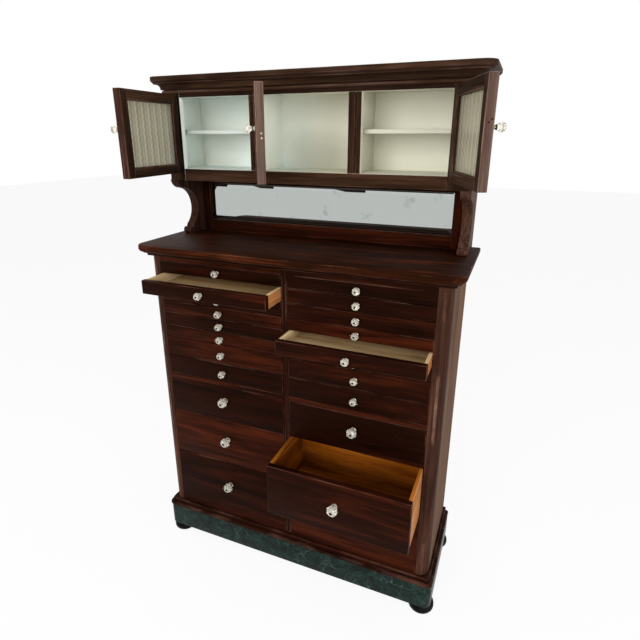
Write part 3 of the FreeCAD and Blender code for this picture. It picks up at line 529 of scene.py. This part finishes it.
def glass_knob(name, body, centre, width, reach, cut, place=None):
    """A turned ferrule with a collar, a faceted glass knob with a dimpled face and the screw in
    it, on a face that looks forward. Returns the glass."""
    centre = Vector(centre) * MM
    radius, reach = width * MM * 0.5, reach * MM

    def turned(part, material, profile, sides, smooth=True):
        piece = Piece(f"{name}_{part}", material)
        profile = [(radius * wide, reach * out) for wide, out in profile]
        piece.lathe(profile, centre, (0, -1, 0), sides, smooth=smooth)
        return piece

    turned("ferrule", NICKEL, FERRULE, 24).done(body, slot="brass", place=place)
    crystal = turned("crystal", GLASS, cut, 8, smooth=False)
    turned("screw", IRON, SCREW_HEAD, 12).done(body, slot="brass", place=place)
    return crystal.done(body, slot="clear_glass", place=place, sharp=5)


# ---------------------------------------------------------------- drawers

ROWS = (41, 45, 47, 39, 45, 45, 65, 69, 131, 171, 224)
FIRST_DEEP_ROW = 9
SMALL_KNOB, LARGE_KNOB = (23.0, 25.0), (32.0, 33.0)
KNOB_RISE = {9: 13.0, 10: 10.0, 11: 20.0}
FRONT_THICK, BOX_WALL, BOX_INSET = 18.0, 10.0, 1.5
BOX_RISE, BOX_DROP, FLOOR_RISE, FLOOR_TOP, LINING_THICK = 1.1, 1.4, 6, 11, 0.8


def build_drawer(side, row):
    """The front, two sides, back and floor, a thin lining behind the front, and the knob."""
    name = f"drawer_{side}_{row:02d}"
    low, high = extent(name)
    deep = row >= FIRST_DEEP_ROW
    width, reach = LARGE_KNOB if deep else SMALL_KNOB
    front = low.y + reach
    inner, rear = front + FRONT_THICK, high.y - BOX_WALL
    z0, z1 = low.z + BOX_RISE, high.z - BOX_DROP
    piece = Piece(name + "_wood", MAHOGANY, AMBER if deep else PALE_LINING, DRAWER_SIDE)
    piece.board((low.x, front, low.z), (high.x, inner, high.z), "x", 1.6, 3)
    left, right = low.x + BOX_INSET, high.x - BOX_INSET
    for x, outward in ((left, -1), (right - BOX_WALL, 1)):
        piece.board((x, inner, z0), (x + BOX_WALL, high.y, z1), "y", 1.2, 2, 1,
                    lined={(0, outward): 2})
    left, right = left + BOX_WALL, right - BOX_WALL
    piece.board((left, rear, z0), (right, high.y, z1), "x", 1.0, 2, 1)
    piece.board((left, inner, z0 + FLOOR_RISE), (right, rear, z0 + FLOOR_TOP), "x", 0.3, 1, 1)
    piece.board((left, inner, z0 + FLOOR_TOP), (right, inner + LINING_THICK, z1 - 1),
                "x", 0.1, 1, 1)
    piece.done(name, name, slot="mahogany")
    centre = ((low.x + high.x) / 2, front, (low.z + high.z) / 2 + KNOB_RISE.get(row, 0))
    glass_knob(name + "_knob", name, centre, width, reach, ROUND_CUT)


for side in ("left", "right"):
    for row in range(1, len(ROWS) + 1):
        build_drawer(side, row)


# ---------------------------------------------------------------- chest

def flipped(points, sign):
    """An outline mirrored to the left side where sign is -1."""
    return [(sign * x, y) for x, y in points]


def band(sign, near, far):
    """The sorted range of x from near to far, on the side that sign gives."""
    return sorted((sign * near, sign * far))


POST_RADIUS = 30.0
POST_INNER, POST_REAR = HALF - POST, FRONT + POST
SIDE_INNER = HALF - SIDE_THICK
for side, sign in (("right", 1), ("left", -1)):
    # The side panels and the posts take lighter copies of the mahogany, with painted light in their
    # colour.
    piece = Piece(f"case_{side}", MAHOGANY, MAHOGANY_SIDE_LIT, MAHOGANY_POST_LIT)
    outline = [(POST_INNER, FRONT)]
    outline += arc((HALF - POST_RADIUS, FRONT + POST_RADIUS), POST_RADIUS, -90, 0, 16)
    outline += [(HALF, POST_REAR), (POST_INNER, POST_REAR)]
    # A narrow upright band of each post's round, just past the front, is paled: partly wearing,
    # partly a painted highlight running up the post.
    piece.prism(flipped(outline, sign), right_low.z, right_high.z, material=2,
                rubbed_and_lit=lambda normal: 0.22 < abs(normal.x) < 0.5 and normal.y < 0)
    x0, x1 = band(sign, SIDE_INNER, HALF)
    piece.board((x0, POST_REAR, right_low.z), (x1, BACK, right_high.z), "z", 0.4, 1, 1)
    piece.done(BODY, f"side_{side}", slot="mahogany")

part_low, part_high = extent("centre_partition")
piece = Piece("partition", MAHOGANY)
piece.board(part_low, part_high, "z", 5, 5)
piece.done(BODY, "centre_partition", slot="mahogany")

RAIL_TALL, RAIL_DEEP = 15, 20
rail_low, rail_high = extent("front_rails")
piece = Piece("rails", MAHOGANY)
for z in (rail_high.z - RAIL_TALL, rail_low.z):
    for x0, x1 in ((-POST_INNER, part_low.x), (part_high.x, POST_INNER)):
        piece.board((x0, FRONT, z), (x1, FRONT + RAIL_DEEP, z + RAIL_TALL), "x", 1.0, 2)
piece.done(BODY, "front_rails", slot="mahogany")

BACK_BOARDS = 5
seams = [case_low.x + (case_high.x - case_low.x) * i / BACK_BOARDS for i in range(BACK_BOARDS + 1)]
piece = Piece("back_boards", BACKING)
for x0, x1 in zip(seams, seams[1:]):
    piece.board((x0, case_low.y, case_low.z), (x1, case_high.y, case_high.z), "z", 0.8, 1)
piece.done(BODY, "case_back", slot="secondary_wood")

# Slips that the drawers run on, at both sides of each column. A rail stands over the first of
# the deep rows.
SLIP_HALF, SLIP_WIDE = 1.8, 10.5
slips = ((part_high.x, part_high.x + SLIP_WIDE, FRONT + RAIL_DEEP),
         (POST_INNER - SLIP_WIDE, SIDE_INNER, POST_REAR))
piece = Piece("drawer_slips", BACKING)
level = base_high.z
for row in range(len(ROWS), 0, -1):
    z0, z1 = (level if row == len(ROWS) else level - SLIP_HALF), level + SLIP_HALF
    for sign in (-1, 1):
        for near, far, start in slips:
            x0, x1 = band(sign, near, far)
            piece.board((x0, start, z0), (x1, case_low.y, z1), "y", 0.4, 1)
    level += ROWS[row - 1] + (RAIL_TALL if row == FIRST_DEEP_ROW else 0)
piece.done(BODY, "runners", slot="secondary_wood")

# The chest's floor, and the frame behind the marble.
PLINTH_BOARD = 22
plinth_low, plinth_high = extent("bottom_frame")
rear_board = BACK - PLINTH_BOARD
piece = Piece("floor_and_plinth", BACKING, MAHOGANY)
piece.board((-POST_INNER, FRONT, base_low.z), (POST_INNER, BACK, base_high.z), "x", 0.6, 1, 1)
for sign in (-1, 1):
    x0, x1 = band(sign, POST_INNER, SIDE_INNER)
    piece.board((x0, POST_REAR, base_low.z), (x1, BACK, base_high.z), "y", 0.6, 1)
    x0, x1 = band(sign, plinth_high.x - PLINTH_BOARD, plinth_high.x)
    piece.board((x0, plinth_low.y + PLINTH_BOARD, plinth_low.z), (x1, rear_board, base_low.z),
                "y", 0.8, 1)
for y in (plinth_low.y, rear_board):
    piece.board((plinth_low.x, y, plinth_low.z), (plinth_high.x, y + PLINTH_BOARD, base_low.z),
                "x", 0.8, 1)
piece.done(BODY, "bottom_frame", slot="secondary_wood")

# Base moulding: a rounded toe below a fillet and a plain neck. The rows of a moulding give
# projection, height, corner radius and edge paling, which is wearing and on some rows a painted
# highlight.
z0, z1 = base_low.z, base_high.z
rows = [(0, z0, 30, 0), (18.2, z0, 17.2, 0), (19, z0 + 0.8, 18, 0.9), (19, z0 + 4, 18, 0.5)]
rows += hollow((12, z0 + 4), 7, 12, 90, 6, 17.7, 11, 0.75)
rows += [(9.8, z0 + 11.2, 9, 0), (9, z0 + 12, 8, 0), (9, z1 - 5.5, 8, 0.1), (8.6, z1 - 2.2, 8, 0.7),
         (6.6, z1, 8, 0.8), (0, z1, 30, 0)]
piece = Piece("base_run", MAHOGANY)
piece.moulding(rows, HALF, FRONT, False)
piece.done(BODY, "base_moulding", slot="mahogany")

z0, z1 = marble_low.z, marble_high.z
piece = Piece("marble_slabs", MARBLE)
piece.moulding([(-7, z0, 1, 0), (16.6, z0, 22.6, 0), (18, z0 + 1.4, 24, 0), (18, z1 - 2.6, 24, 0),
                (17.2, z1 - 0.8, 23.2, 0), (15.4, z1, 21.4, 0), (-7, z1, 1, 0)], HALF, FRONT, False)
piece.done(BODY, "marble_plinth", slot="green_marble")

FOOT_RADIUS, UPRIGHT = 41, (0, 0, 1)
FOOT = metres([(0, 0), (34, 0), (38, 1.2), (40.4, 5), (FOOT_RADIUS, 10), (40.4, 17), (38, 22),
               (33, 25.5), (26, 27)])
FOOT_RING = metres([(26, 26.2), (27, 29), (25.5, 32), (23, 34), (0, 34)])
foot_low, foot_high = extent("feet")
piece = Piece("feet_turned", IRON, BRASS)
for sign in (-1, 1):
    for y in (foot_low.y + FOOT_RADIUS, foot_high.y - FOOT_RADIUS):
        centre = Vector((sign * (foot_high.x - FOOT_RADIUS), y, 0)) * MM
        piece.lathe(FOOT, centre, UPRIGHT, 48)
        piece.lathe(FOOT_RING, centre, UPRIGHT, 48, 1)
piece.done(BODY, "feet", slot="dark_iron")

# The cavetto under the worktop, and the worktop with its rounded nose.
z0, z1 = under_low.z, under_high.z
rows = [(7.2, z0, 11, 0), (8, z0 + 0.8, 12, 0.6), (8, z0 + 2, 12, 0.1)]
rows += hollow((16, z0 + 2), 8, 165, 90, 6, 12, 20)
rows += [(19.2, z0 + 10.1, 23, 0.5), (20, z0 + 10.9, 24, 0.9), (20, z1 - 1, 24, 0.5),
         (19, z1, 23, 0)]
piece = Piece("cornice_board", MAHOGANY)
piece.moulding(rows, HALF, FRONT)
piece.done(BODY, "worktop_moulding", slot="mahogany")

z0, z1 = work_low.z, work_high.z
rows = hollow((-12, z0 + 12), 12, -90, 0, 8, 32, 44, 0.12)
# The rows at the worktop's top front arris are paled into a thin painted highlight line, over some
# wearing.
rows += [(0, z1 - 4.6, 44, 0), (-0.2, z1 - 3.2, 43.8, 0.2), (-1.2, z1 - 1.4, 42.8, 1),
         (-2.6, z1 - 0.3, 41.4, 0.6), (-3.6, z1, 40.4, 0)]
piece = Piece("worktop_board", MAHOGANY_TOP)
piece.moulding(rows, work_high.x, work_low.y, tone=0.5, steps=20)
piece.done(BODY, "worktop", slot="mahogany")

# ---------------------------------------------------------------- gallery

gallery_z, upper_z = work_high.z, face_low.z
UPPER_HALF, FACE = face_high.x, face_low.y


def between(start, end, radius, left, steps=10):
    """Points of a round edge from start to end, turning left or right, without the start."""
    (x0, y0), (x1, y1) = start, end
    chord = math.hypot(x1 - x0, y1 - y0)
    rise = math.sqrt(max(radius ** 2 - chord ** 2 / 4, 0)) * (1 if left else -1)
    cx = (x0 + x1) / 2 - (y1 - y0) / chord * rise
    cy = (y0 + y1) / 2 + (x1 - x0) / chord * rise
    first, last = math.atan2(y0 - cy, x0 - cx), math.atan2(y1 - cy, x1 - cx)
    if left and last < first:
        last += 2 * math.pi
    if not left and last > first:
        last -= 2 * math.pi
    turns = [first + (last - first) * i / steps for i in range(1, steps + 1)]
    return [(cx + radius * math.cos(t), cy + radius * math.sin(t)) for t in turns]


tall = upper_z - gallery_z
scroll = [(BACK, 0), (BACK, tall), (-24, tall)]
scroll += between((-24, tall), (12, tall - 29), 40, True, 12)
scroll += [(29, tall - 33)]
scroll += between((29, tall - 33), (76, 104), 68, False)
scroll += between((76, 104), (48, 31), 66, False)
scroll += [(42.6, 19.8)]
scroll += between((42.6, 19.8), (25, 11), 11, True, 8)
scroll += between((25, 11), (36, 0), 11, True, 6)


def rounded_here(middle):
    """Whether a bracket's arris is one of the scroll's, away from its back and its ends."""
    return middle.y < BACK - 20 and gallery_z + 0.5 < middle.z < upper_z - 0.5


for side, sign in (("right", 1), ("left", -1)):
    low, high = extent(f"bracket_{side}")
    piece = Piece(f"scroll_{side}", CARVED)
    piece.prism([(y, z + gallery_z) for y, z in scroll], low.x, high.x, "x", bevel=4.5,
                chosen=rounded_here)
    piece.done(BODY, f"bracket_{side}", slot="mahogany")

frame_low, frame_high = extent("mirror_frame")
glass_low, glass_high = extent("mirror_glass")
PANE, SIGHT_LOW, SIGHT_HIGH = 426.0, frame_low.z + 39, frame_high.z - 20
piece = Piece("mirror_surround", MAHOGANY)
for sign in (-1, 1):
    x0, x1 = band(sign, PANE, frame_high.x)
    piece.board((x0, frame_low.y, frame_low.z), (x1, frame_high.y, frame_high.z), "z", 1.2)
piece.board((-PANE, frame_low.y, frame_low.z), (PANE, frame_high.y, SIGHT_LOW), "x", 1.2)
piece.board((-PANE, frame_low.y, SIGHT_HIGH), (PANE, frame_high.y, frame_high.z), "x", 1.2)
piece.done(BODY, "mirror_frame", slot="mahogany")

# The mirror's plate, from the rim of its face over the bevel to its back.
BEVEL_WIDE, BEVEL_DEEP = 13.0, 1.8
plate = bmesh.new()
rims = []
for inset, y in ((BEVEL_WIDE, glass_low.y), (0, glass_low.y + BEVEL_DEEP), (0, glass_high.y)):
    x, z0, z1 = PANE - inset, SIGHT_LOW + inset, SIGHT_HIGH - inset
    corners = ((-x, y, z0), (x, y, z0), (x, y, z1), (-x, y, z1))
    rims.append([plate.verts.new(Vector(corner) * MM) for corner in corners])
plate.faces.new(rims[0])
for first, second in zip(rims, rims[1:]):
    for i in range(4):
        plate.faces.new((first[i], second[i], second[(i + 1) % 4], first[(i + 1) % 4]))
plate.faces.new(list(reversed(rims[2])))
bmesh.ops.recalc_face_normals(plate, faces=plate.faces[:])
piece = Piece("mirror_plate", MIRROR)
piece.absorb(plate, "x", 0)
piece.done(BODY, "mirror_glass", slot="mirror", sharp=1)

piece = Piece("mirror_backing", BACKING)
low, high = extent("mirror_back")
piece.board(low, high, "x", 0.5, 1)
piece.done(BODY, "mirror_back", slot="secondary_wood")

# ---------------------------------------------------------------- wall case

side_low, side_high = extent("upper_sides")
piece = Piece("wall_case_sides", MAHOGANY_UPPER, PAINT)
for sign in (-1, 1):
    x0, x1 = band(sign, UPPER_HALF - SIDE_THICK, UPPER_HALF)
    piece.board((x0, side_low.y, side_low.z), (x1, side_high.y, side_high.z), "z", 0.5, 1,
                lined={(0, -sign): 1})
piece.done(BODY, "upper_sides", slot="mahogany")

# The deck is two boards, a painted one over a polished one.
DECK_BOARD, DIVIDER = 15, 12
top_low, top_high = extent("upper_top")
back_low, back_high = extent("upper_back")
deck_low, deck_high = extent("upper_bottom")
shelf_low, shelf_high = extent("shelves")
divider_low, divider_high = extent("upper_partitions")
LEFT_DIVIDER = (divider_low.x, divider_low.x + DIVIDER)
RIGHT_DIVIDER = (divider_high.x - DIVIDER, divider_high.x)
piece = Piece("wall_case_lining", PAINT, BACKING, SHADED_SHELF_PAINT)
piece.board(top_low, top_high, "x", 0.6, 1)
piece.board(back_low, back_high, "x", 0.6, 1, lined={(1, 1): 1})
piece.board((deck_low.x, deck_low.y, deck_high.z - DECK_BOARD), deck_high, "x", 0.6, 1)
for x0, x1 in (LEFT_DIVIDER, RIGHT_DIVIDER):
    piece.board((x0, divider_low.y, divider_low.z), (x1, divider_high.y, divider_high.z), "z", 0.8)
# The shelves take the darker copy of the paint, as painted shade.
for x0, x1 in ((shelf_low.x, LEFT_DIVIDER[0]), (RIGHT_DIVIDER[1], shelf_high.x)):
    piece.board((x0, shelf_low.y, shelf_low.z), (x1, shelf_high.y, shelf_high.z), "x", 2.0, 3,
                material=2)
piece.done(BODY, "upper_top", "upper_back", "upper_bottom", "upper_partitions", "shelves",
           slot="painted_board")
piece = Piece("wall_case_soffit", MAHOGANY_UPPER)
piece.board(deck_low, (deck_high.x, deck_high.y, deck_low.z + DECK_BOARD), "x", 0.6)
piece.done(BODY, slot="mahogany")

# The face frame. Its right mullion is two boards with a set-back strip between them.
SIGHT_Z = (face_low.z + 37, face_low.z + 252)
OUTER, FACE_REAR, CORNER = UPPER_HALF - 65, FACE + 18, 15
LEFT_MULLION, RIGHT_MULLION = (-172.0, -134.0), (140.0, 178.0)
STRIP, STRIP_SETBACK = (159.4, 164.4), 3.5
piece = Piece("case_face", MAHOGANY_UPPER, PAINT)
piece.board((-OUTER, FACE, upper_z), (OUTER, FACE_REAR, SIGHT_Z[0]), "x", 1.2, lined={(2, 1): 1})
piece.board((-OUTER, FACE, SIGHT_Z[1]), (OUTER, FACE_REAR, face_high.z), "x", 1.2,
            lined={(2, -1): 1})
for sign in (-1, 1):
    outline = [(OUTER, FACE)] + arc((UPPER_HALF - CORNER, FACE + CORNER), CORNER, -90, 0, 10)
    outline += [(UPPER_HALF, FACE_REAR), (OUTER, FACE_REAR)]
    piece.prism(flipped(outline, sign), upper_z, face_high.z, lined={(0, -sign): 1})
for x0, x1, setback, sides in (
        (*LEFT_MULLION, 0, (-1, 1)), (RIGHT_MULLION[0], STRIP[0], 0, (-1,)),
        (*STRIP, STRIP_SETBACK, ()), (STRIP[1], RIGHT_MULLION[1], 0, (1,))):
    piece.board((x0, FACE + setback, SIGHT_Z[0]), (x1, FACE_REAR, SIGHT_Z[1]), "z", 1.2,
                lined={(0, sign): 1 for sign in sides})
piece.done(BODY, "face_frame", slot="mahogany")

# The crown: a half-round bead on the frieze, a hollow, a fillet and the fascia.
z0, z1 = face_high.z, crown_high.z
rows = [(8.4, z0, 23, 0), (9, z0 + 0.6, 24, 0.3), (9, z0 + 2, 24, 0)]
rows += hollow((23, z0 + 2), 14, 172, 90, 8, 24, 28)
rows += [(25.4, z0 + 16.1, 28.6, 0.4), (26, z0 + 16.7, 29, 0.8), (26, z0 + 19.6, 29, 0.2),
         (28, z0 + 20.2, 31, 0), (32.2, z0 + 24, 35.2, 0.5), (33, z0 + 25.2, 36, 1),
         (33, z0 + 26.8, 36, 0.2), (33, z1 - 3, 36, 0.1), (32.5, z1 - 1.2, 35.5, 0.9),
         (31, z1, 34, 0.9), (27, z1, 30, 0)]
piece = Piece("crown_board", MAHOGANY_UPPER)
piece.moulding(rows, UPPER_HALF, FACE, tone=0.4, steps=16)
bead_z, bead = z0 - 7.5, 4.5
rows = [(0, bead_z - bead, CORNER, 0)]
# The bead is paled a little all round as wearing, and its upper half more, as a painted highlight.
rows += [(out, z, CORNER + out, 0.25 + 0.5 * (z > bead_z))
         for out, z in arc((1.5, bead_z), bead, -90, 90, 8)]
rows += [(0, bead_z + bead, CORNER, 0)]
piece.moulding(rows, UPPER_HALF, FACE, False, tone=0.7)
piece.done(BODY, "crown", slot="mahogany")

# ---------------------------------------------------------------- doors

THICK, HINGE_STILE, FREE_STILE, RAIL, BEAD = 22.0, 20.0, 27.0, 23.0, 6.0
DOOR_LOW, DOOR_HIGH = SIGHT_Z[0] - 12, SIGHT_Z[1] + 7.5
KNOB_Z = (DOOR_LOW + DOOR_HIGH) / 2 + 13.5
DOOR_FRONT = FACE - 23
LIP_SETBACK, PANE_FRONT, PANE_REAR, RAIL_SETBACK = 2, 9, 12, 0.2
DOOR_KNOB = (22, 27)
# The hinge line's x and y, the hinged and the free edge, and the angle that the door stands at.
DOORS = {"left": (-426.2, -33.5, -423.0, -154.0, -85.4),
         "middle": (-146.5, -53.8, -149.0, 147.5, -60.0),
         "right": (426.2, -33.5, 423.0, 152.5, 110.7)}
# The left door's edges take the darker carved wood as painted shade; the middle and right doors
# take the door-edge wood.
EDGE_WOOD_AND_SHADE = {"left": CARVED, "middle": DOOR_EDGE, "right": DOOR_EDGE}
CATCH_METAL = {"left": HINGE, "middle": NICKEL, "right": HINGE}
# Catch screws in the free edges: setback from the shut door's front, and height.
STUDS = {"left": ((2.5, 1490), (11, 1490)), "middle": ((13.5, 1465.5), (13.5, 1454.5)),
         "right": ((5.5, 1492), (12, 1486))}
HINGE_Z = (DOOR_LOW + 26, DOOR_HIGH - 68)
KNUCKLE, KNUCKLE_GAP, BARREL, BARREL_EASE = 14.0, 0.3, 2.4, 0.3
LEAF_WIDE, LEAF_SCREWS, WEB_HALF = 18, (8, 14), 0.5
PLATE_WIDE, PLATE_THICK, PLATE_SCREW_X, PLATE_SCREWS = 17.5, 1, 11, (8, 34)
SCREW = metres([(0, 0), (2.0, 0), (2.0, 0.15), (1.4, 0.45), (0, 0.55)])
STUD = metres([(0, 0), (2.3, 0), (2.3, 0.3), (1.5, 0.7), (0, 0.8)])


def screw(piece, x, y, z):
    piece.lathe(SCREW, Vector((x, y, z)) * MM, (0, -1, 0), 12)


def stud(piece, x, y, z, sign):
    piece.lathe(STUD, Vector((x, y, z)) * MM, (sign, 0, 0), 12)


def knuckle(piece, x, y, z, tall):
    eased = BARREL - BARREL_EASE
    profile = metres([(0, 0), (eased, 0), (BARREL, BARREL_EASE), (BARREL, tall - BARREL_EASE),
                      (eased, tall), (0, tall)])
    piece.lathe(profile, Vector((x, y, z)) * MM, UPRIGHT, 20)


def build_door(side):
    """The frame with its lips, the pane, the knob, the moving parts of the hinges and the catch
    screws, all made shut and then turned to the angle in DOORS."""
    pivot_x, pivot_y, hinge_edge, free_edge, angle = DOORS[side]
    body = f"door_{side}"
    reach = 1 if free_edge > hinge_edge else -1
    pivot = Matrix.Translation(Vector((pivot_x, pivot_y, 0)) * MM)
    place = pivot @ Matrix.Rotation(math.radians(angle), 4, "Z") @ pivot.inverted()
    near, far = DOOR_FRONT, DOOR_FRONT + THICK

    def across(start, end):
        return sorted((hinge_edge + reach * start, hinge_edge + reach * end))

    wide = abs(free_edge - hinge_edge)
    inner, outer = HINGE_STILE, wide - FREE_STILE
    low, high = DOOR_LOW + RAIL, DOOR_HIGH - RAIL
    piece = Piece(f"{body}_joinery", MAHOGANY_UPPER, EDGE_WOOD_AND_SHADE[side])
    for start, end in ((0, inner), (outer, wide)):
        x0, x1 = across(start, end)
        edge = {(0, reach): 1} if start else {(0, -reach): 1}
        piece.board((x0, near, DOOR_LOW), (x1, far, DOOR_HIGH), "z", 1.8, 3, lined=edge)
    x0, x1 = across(inner, outer)
    for z in ((DOOR_LOW, low), (high, DOOR_HIGH)):
        piece.board((x0, near + RAIL_SETBACK, z[0]), (x1, far - RAIL_SETBACK, z[1]), "x", 1.6, 3)
    for y0, y1 in ((near + LIP_SETBACK, near + PANE_FRONT), (near + PANE_REAR, far - LIP_SETBACK)):
        for start, end in ((inner, inner + BEAD), (outer - BEAD, outer)):
            u0, u1 = across(start, end)
            piece.board((u0, y0, low), (u1, y1, high), "z", 2.4, 3)
        for z in ((low, low + BEAD), (high - BEAD, high)):
            u0, u1 = across(inner + BEAD, outer - BEAD)
            piece.board((u0, y0, z[0]), (u1, y1, z[1]), "x", 2.4, 3)
    piece.done(body, f"door_{side}_frame", slot="mahogany", place=place)
    piece = Piece(f"{body}_pane", RIPPLED)
    piece.board((x0, near + PANE_FRONT, low), (x1, near + PANE_REAR, high), "z", 0.2, 1)
    piece.done(body, f"door_{side}_glass", slot="textured_glass", place=place)
    k0, k1 = across(outer, wide)
    crystal = glass_knob(f"{body}_knob", body, ((k0 + k1) / 2, near, KNOB_Z), *DOOR_KNOB,
                         FLARED_CUT, place)
    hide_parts(f"door_{side}_knob")
    piece = Piece(f"{body}_leaves", HINGE)
    for z in HINGE_Z:
        low, high = z + KNUCKLE + KNUCKLE_GAP, z + 2 * KNUCKLE - KNUCKLE_GAP
        knuckle(piece, pivot_x, pivot_y, low, high - low)
        if side == "middle":
            u0, u1 = across(0, LEAF_WIDE)
            piece.board((u0, pivot_y, low), (u1, near, high), "z", 0.3, 1)
            for along in LEAF_SCREWS:
                screw(piece, u0 + along, pivot_y, (low + high) / 2)
        else:
            u0, u1 = sorted((pivot_x, hinge_edge))
            piece.board((u0, pivot_y - WEB_HALF, low), (u1, pivot_y + WEB_HALF, high), "z", 0.2, 1)
    piece.done(body, f"door_{side}_fittings", slot="brass", place=place)
    piece = Piece(f"{body}_catch", CATCH_METAL[side])
    for setback, z in STUDS[side]:
        stud(piece, free_edge, near + setback, z, reach)
    piece.done(body, slot="brass", place=place)


for side in DOORS:
    build_door(side)

# The fixed halves of the hinges: plates on the outer stiles, and webs that come forward between
# the left and middle doors.
piece = Piece("hinge_plates", HINGE)
web_x, plate_y = DOORS["middle"][2] - 1.3, FACE - PLATE_THICK
for z in HINGE_Z:
    for sign in (-1, 1):
        x, y = sign * DOORS["right"][0], DOORS["right"][1]
        x0, x1 = sorted((x - sign * WEB_HALF, x + sign * PLATE_WIDE))
        piece.board((x0, plate_y, z), (x1, FACE, z + 3 * KNUCKLE), "z", 0.3, 1)
        for rise in PLATE_SCREWS:
            screw(piece, x + sign * PLATE_SCREW_X, plate_y, z + rise)
        for low in (z, z + 2 * KNUCKLE):
            knuckle(piece, x, y, low, KNUCKLE)
            piece.board((x - WEB_HALF, y, low), (x + WEB_HALF, plate_y, low + KNUCKLE), "z", 0.2, 1)
    x, y = DOORS["middle"][:2]
    for low in (z, z + 2 * KNUCKLE):
        knuckle(piece, x, y, low, KNUCKLE)
        piece.board((web_x, y - WEB_HALF, low), (x, y + WEB_HALF, low + KNUCKLE), "z", 0.2, 1)
        piece.board((web_x, y + WEB_HALF, low), (web_x + 1, FACE, low + KNUCKLE), "z", 0.2, 1)
piece.done(BODY, "door_hinges", slot="brass")

# ---------------------------------------------------------------- stage, light and camera

def background_rays(tree):
    """1 for the rays that should find a white background: the camera's, and reflected and
    refracted ones."""
    paths = tree.nodes.new("ShaderNodeLightPath")
    level = paths.outputs["Is Camera Ray"]
    for name in ("Is Glossy Ray", "Is Transmission Ray"):
        more = tree.nodes.new("ShaderNodeMath")
        more.operation = "MAXIMUM"
        tree.links.new(level, more.inputs[0])
        tree.links.new(paths.outputs[name], more.inputs[1])
        level = more.outputs[0]
    return level


def floor_material():
    """A pale floor that catches the shadow, mixed with white for the rays of background_rays."""
    s = Shader("studio_floor")
    place = s.node("ShaderNodeTexCoord").outputs["Object"]
    clouds = s.noise(place, 1.4, 2, 0.5)
    colour = s.mix(clouds, (0.83, 0.83, 0.82), (0.87, 0.87, 0.86))
    s.set(Base_Color=colour, Roughness=0.8, Specular_IOR_Level=0.1)
    white = s.node("ShaderNodeEmission", Color=(1.0, 1.0, 1.0, 1.0), Strength=1.0)
    blend = s.node("ShaderNodeMixShader")
    s.feed(blend.inputs[0], s.math("MULTIPLY", background_rays(s.tree), 0.9))
    s.feed(blend.inputs[1], s.surface.outputs["BSDF"])
    s.feed(blend.inputs[2], white.outputs["Emission"])
    s.feed(s.tree.nodes["Material Output"].inputs["Surface"], blend.outputs["Shader"])
    return s.material


floor_mesh = bpy.data.meshes.new("floor")
sheet = bmesh.new()
bmesh.ops.create_grid(sheet, x_segments=1, y_segments=1, size=14.0)
sheet.to_mesh(floor_mesh)
sheet.free()
floor = bpy.data.objects.new("floor", floor_mesh)
bpy.context.scene.collection.objects.link(floor)
floor_mesh.materials.append(floor_material())


def area_light(name, place, target, size, power, mirrored=True):
    """A lamp of the given size in metres. One that isn't mirrored leaves no reflection."""
    lamp = bpy.data.lights.new(name, "AREA")
    lamp.shape = "RECTANGLE"
    lamp.size, lamp.size_y = size
    lamp.energy = power
    made = bpy.data.objects.new(name, lamp)
    made.location = place
    made.rotation_euler = (Vector(target) - Vector(place)).to_track_quat("-Z", "Y").to_euler()
    made.visible_glossy = mirrored
    bpy.context.scene.collection.objects.link(made)


MIDDLE_POINT = (0, 0, 0.95)
area_light("key", (-0.4, -4.3, 2.3), MIDDLE_POINT, (2.6, 2.4), 146, mirrored=False)
area_light("fill", (3.4, -2.8, 1.8), MIDDLE_POINT, (2.6, 2.2), 96)
area_light("left", (-3.6, -2.0, 1.8), MIDDLE_POINT, (2.2, 2.2), 14, mirrored=False)
area_light("top", (0.3, -0.4, 4.2), MIDDLE_POINT, (3.0, 2.0), 26)

world = bpy.data.worlds.new("studio")
world.use_nodes = True
bpy.context.scene.world = world
tree = world.node_tree
back = tree.nodes["Background"]
back.inputs["Color"].default_value = (1, 1, 1, 1)
level = tree.nodes.new("ShaderNodeMapRange")
level.inputs["To Min"].default_value = 0.5
level.inputs["To Max"].default_value = 1.0
tree.links.new(background_rays(tree), level.inputs["Value"])
tree.links.new(level.outputs[0], back.inputs["Strength"])

# The camera that was fitted to the photograph.
YAW, PITCH, ROLL = (math.radians(d) for d in (22.7117, 18.7210, -0.0748))
CAMERA_PLACE = (0.60705, -1.39454, 1.46207)
SENSOR, FOCAL_SHARE = 36.0, 490.02 / 640
CENTRE_SHIFT = ((320 - 313.267) / 640, (300.994 - 320) / 640)
forward = Vector((-math.sin(YAW) * math.cos(PITCH), math.cos(YAW) * math.cos(PITCH),
                  -math.sin(PITCH)))
sideways = Vector((math.cos(YAW), math.sin(YAW), 0))
upward = sideways.cross(forward)
right = sideways * math.cos(ROLL) + upward * math.sin(ROLL)
up = upward * math.cos(ROLL) - sideways * math.sin(ROLL)
camera = bpy.data.cameras.new("camera")
camera.sensor_width = SENSOR
camera.lens = SENSOR * FOCAL_SHARE
camera.shift_x, camera.shift_y = CENTRE_SHIFT
eye = bpy.data.objects.new("camera", camera)
turn = Matrix((right, up, -forward)).transposed().to_4x4()
eye.matrix_world = Matrix.Translation(CAMERA_PLACE) @ turn
bpy.context.scene.collection.objects.link(eye)
bpy.context.scene.camera = eye
bpy.context.scene.view_settings.view_transform = "Standard"

bpy.context.view_layer.update()
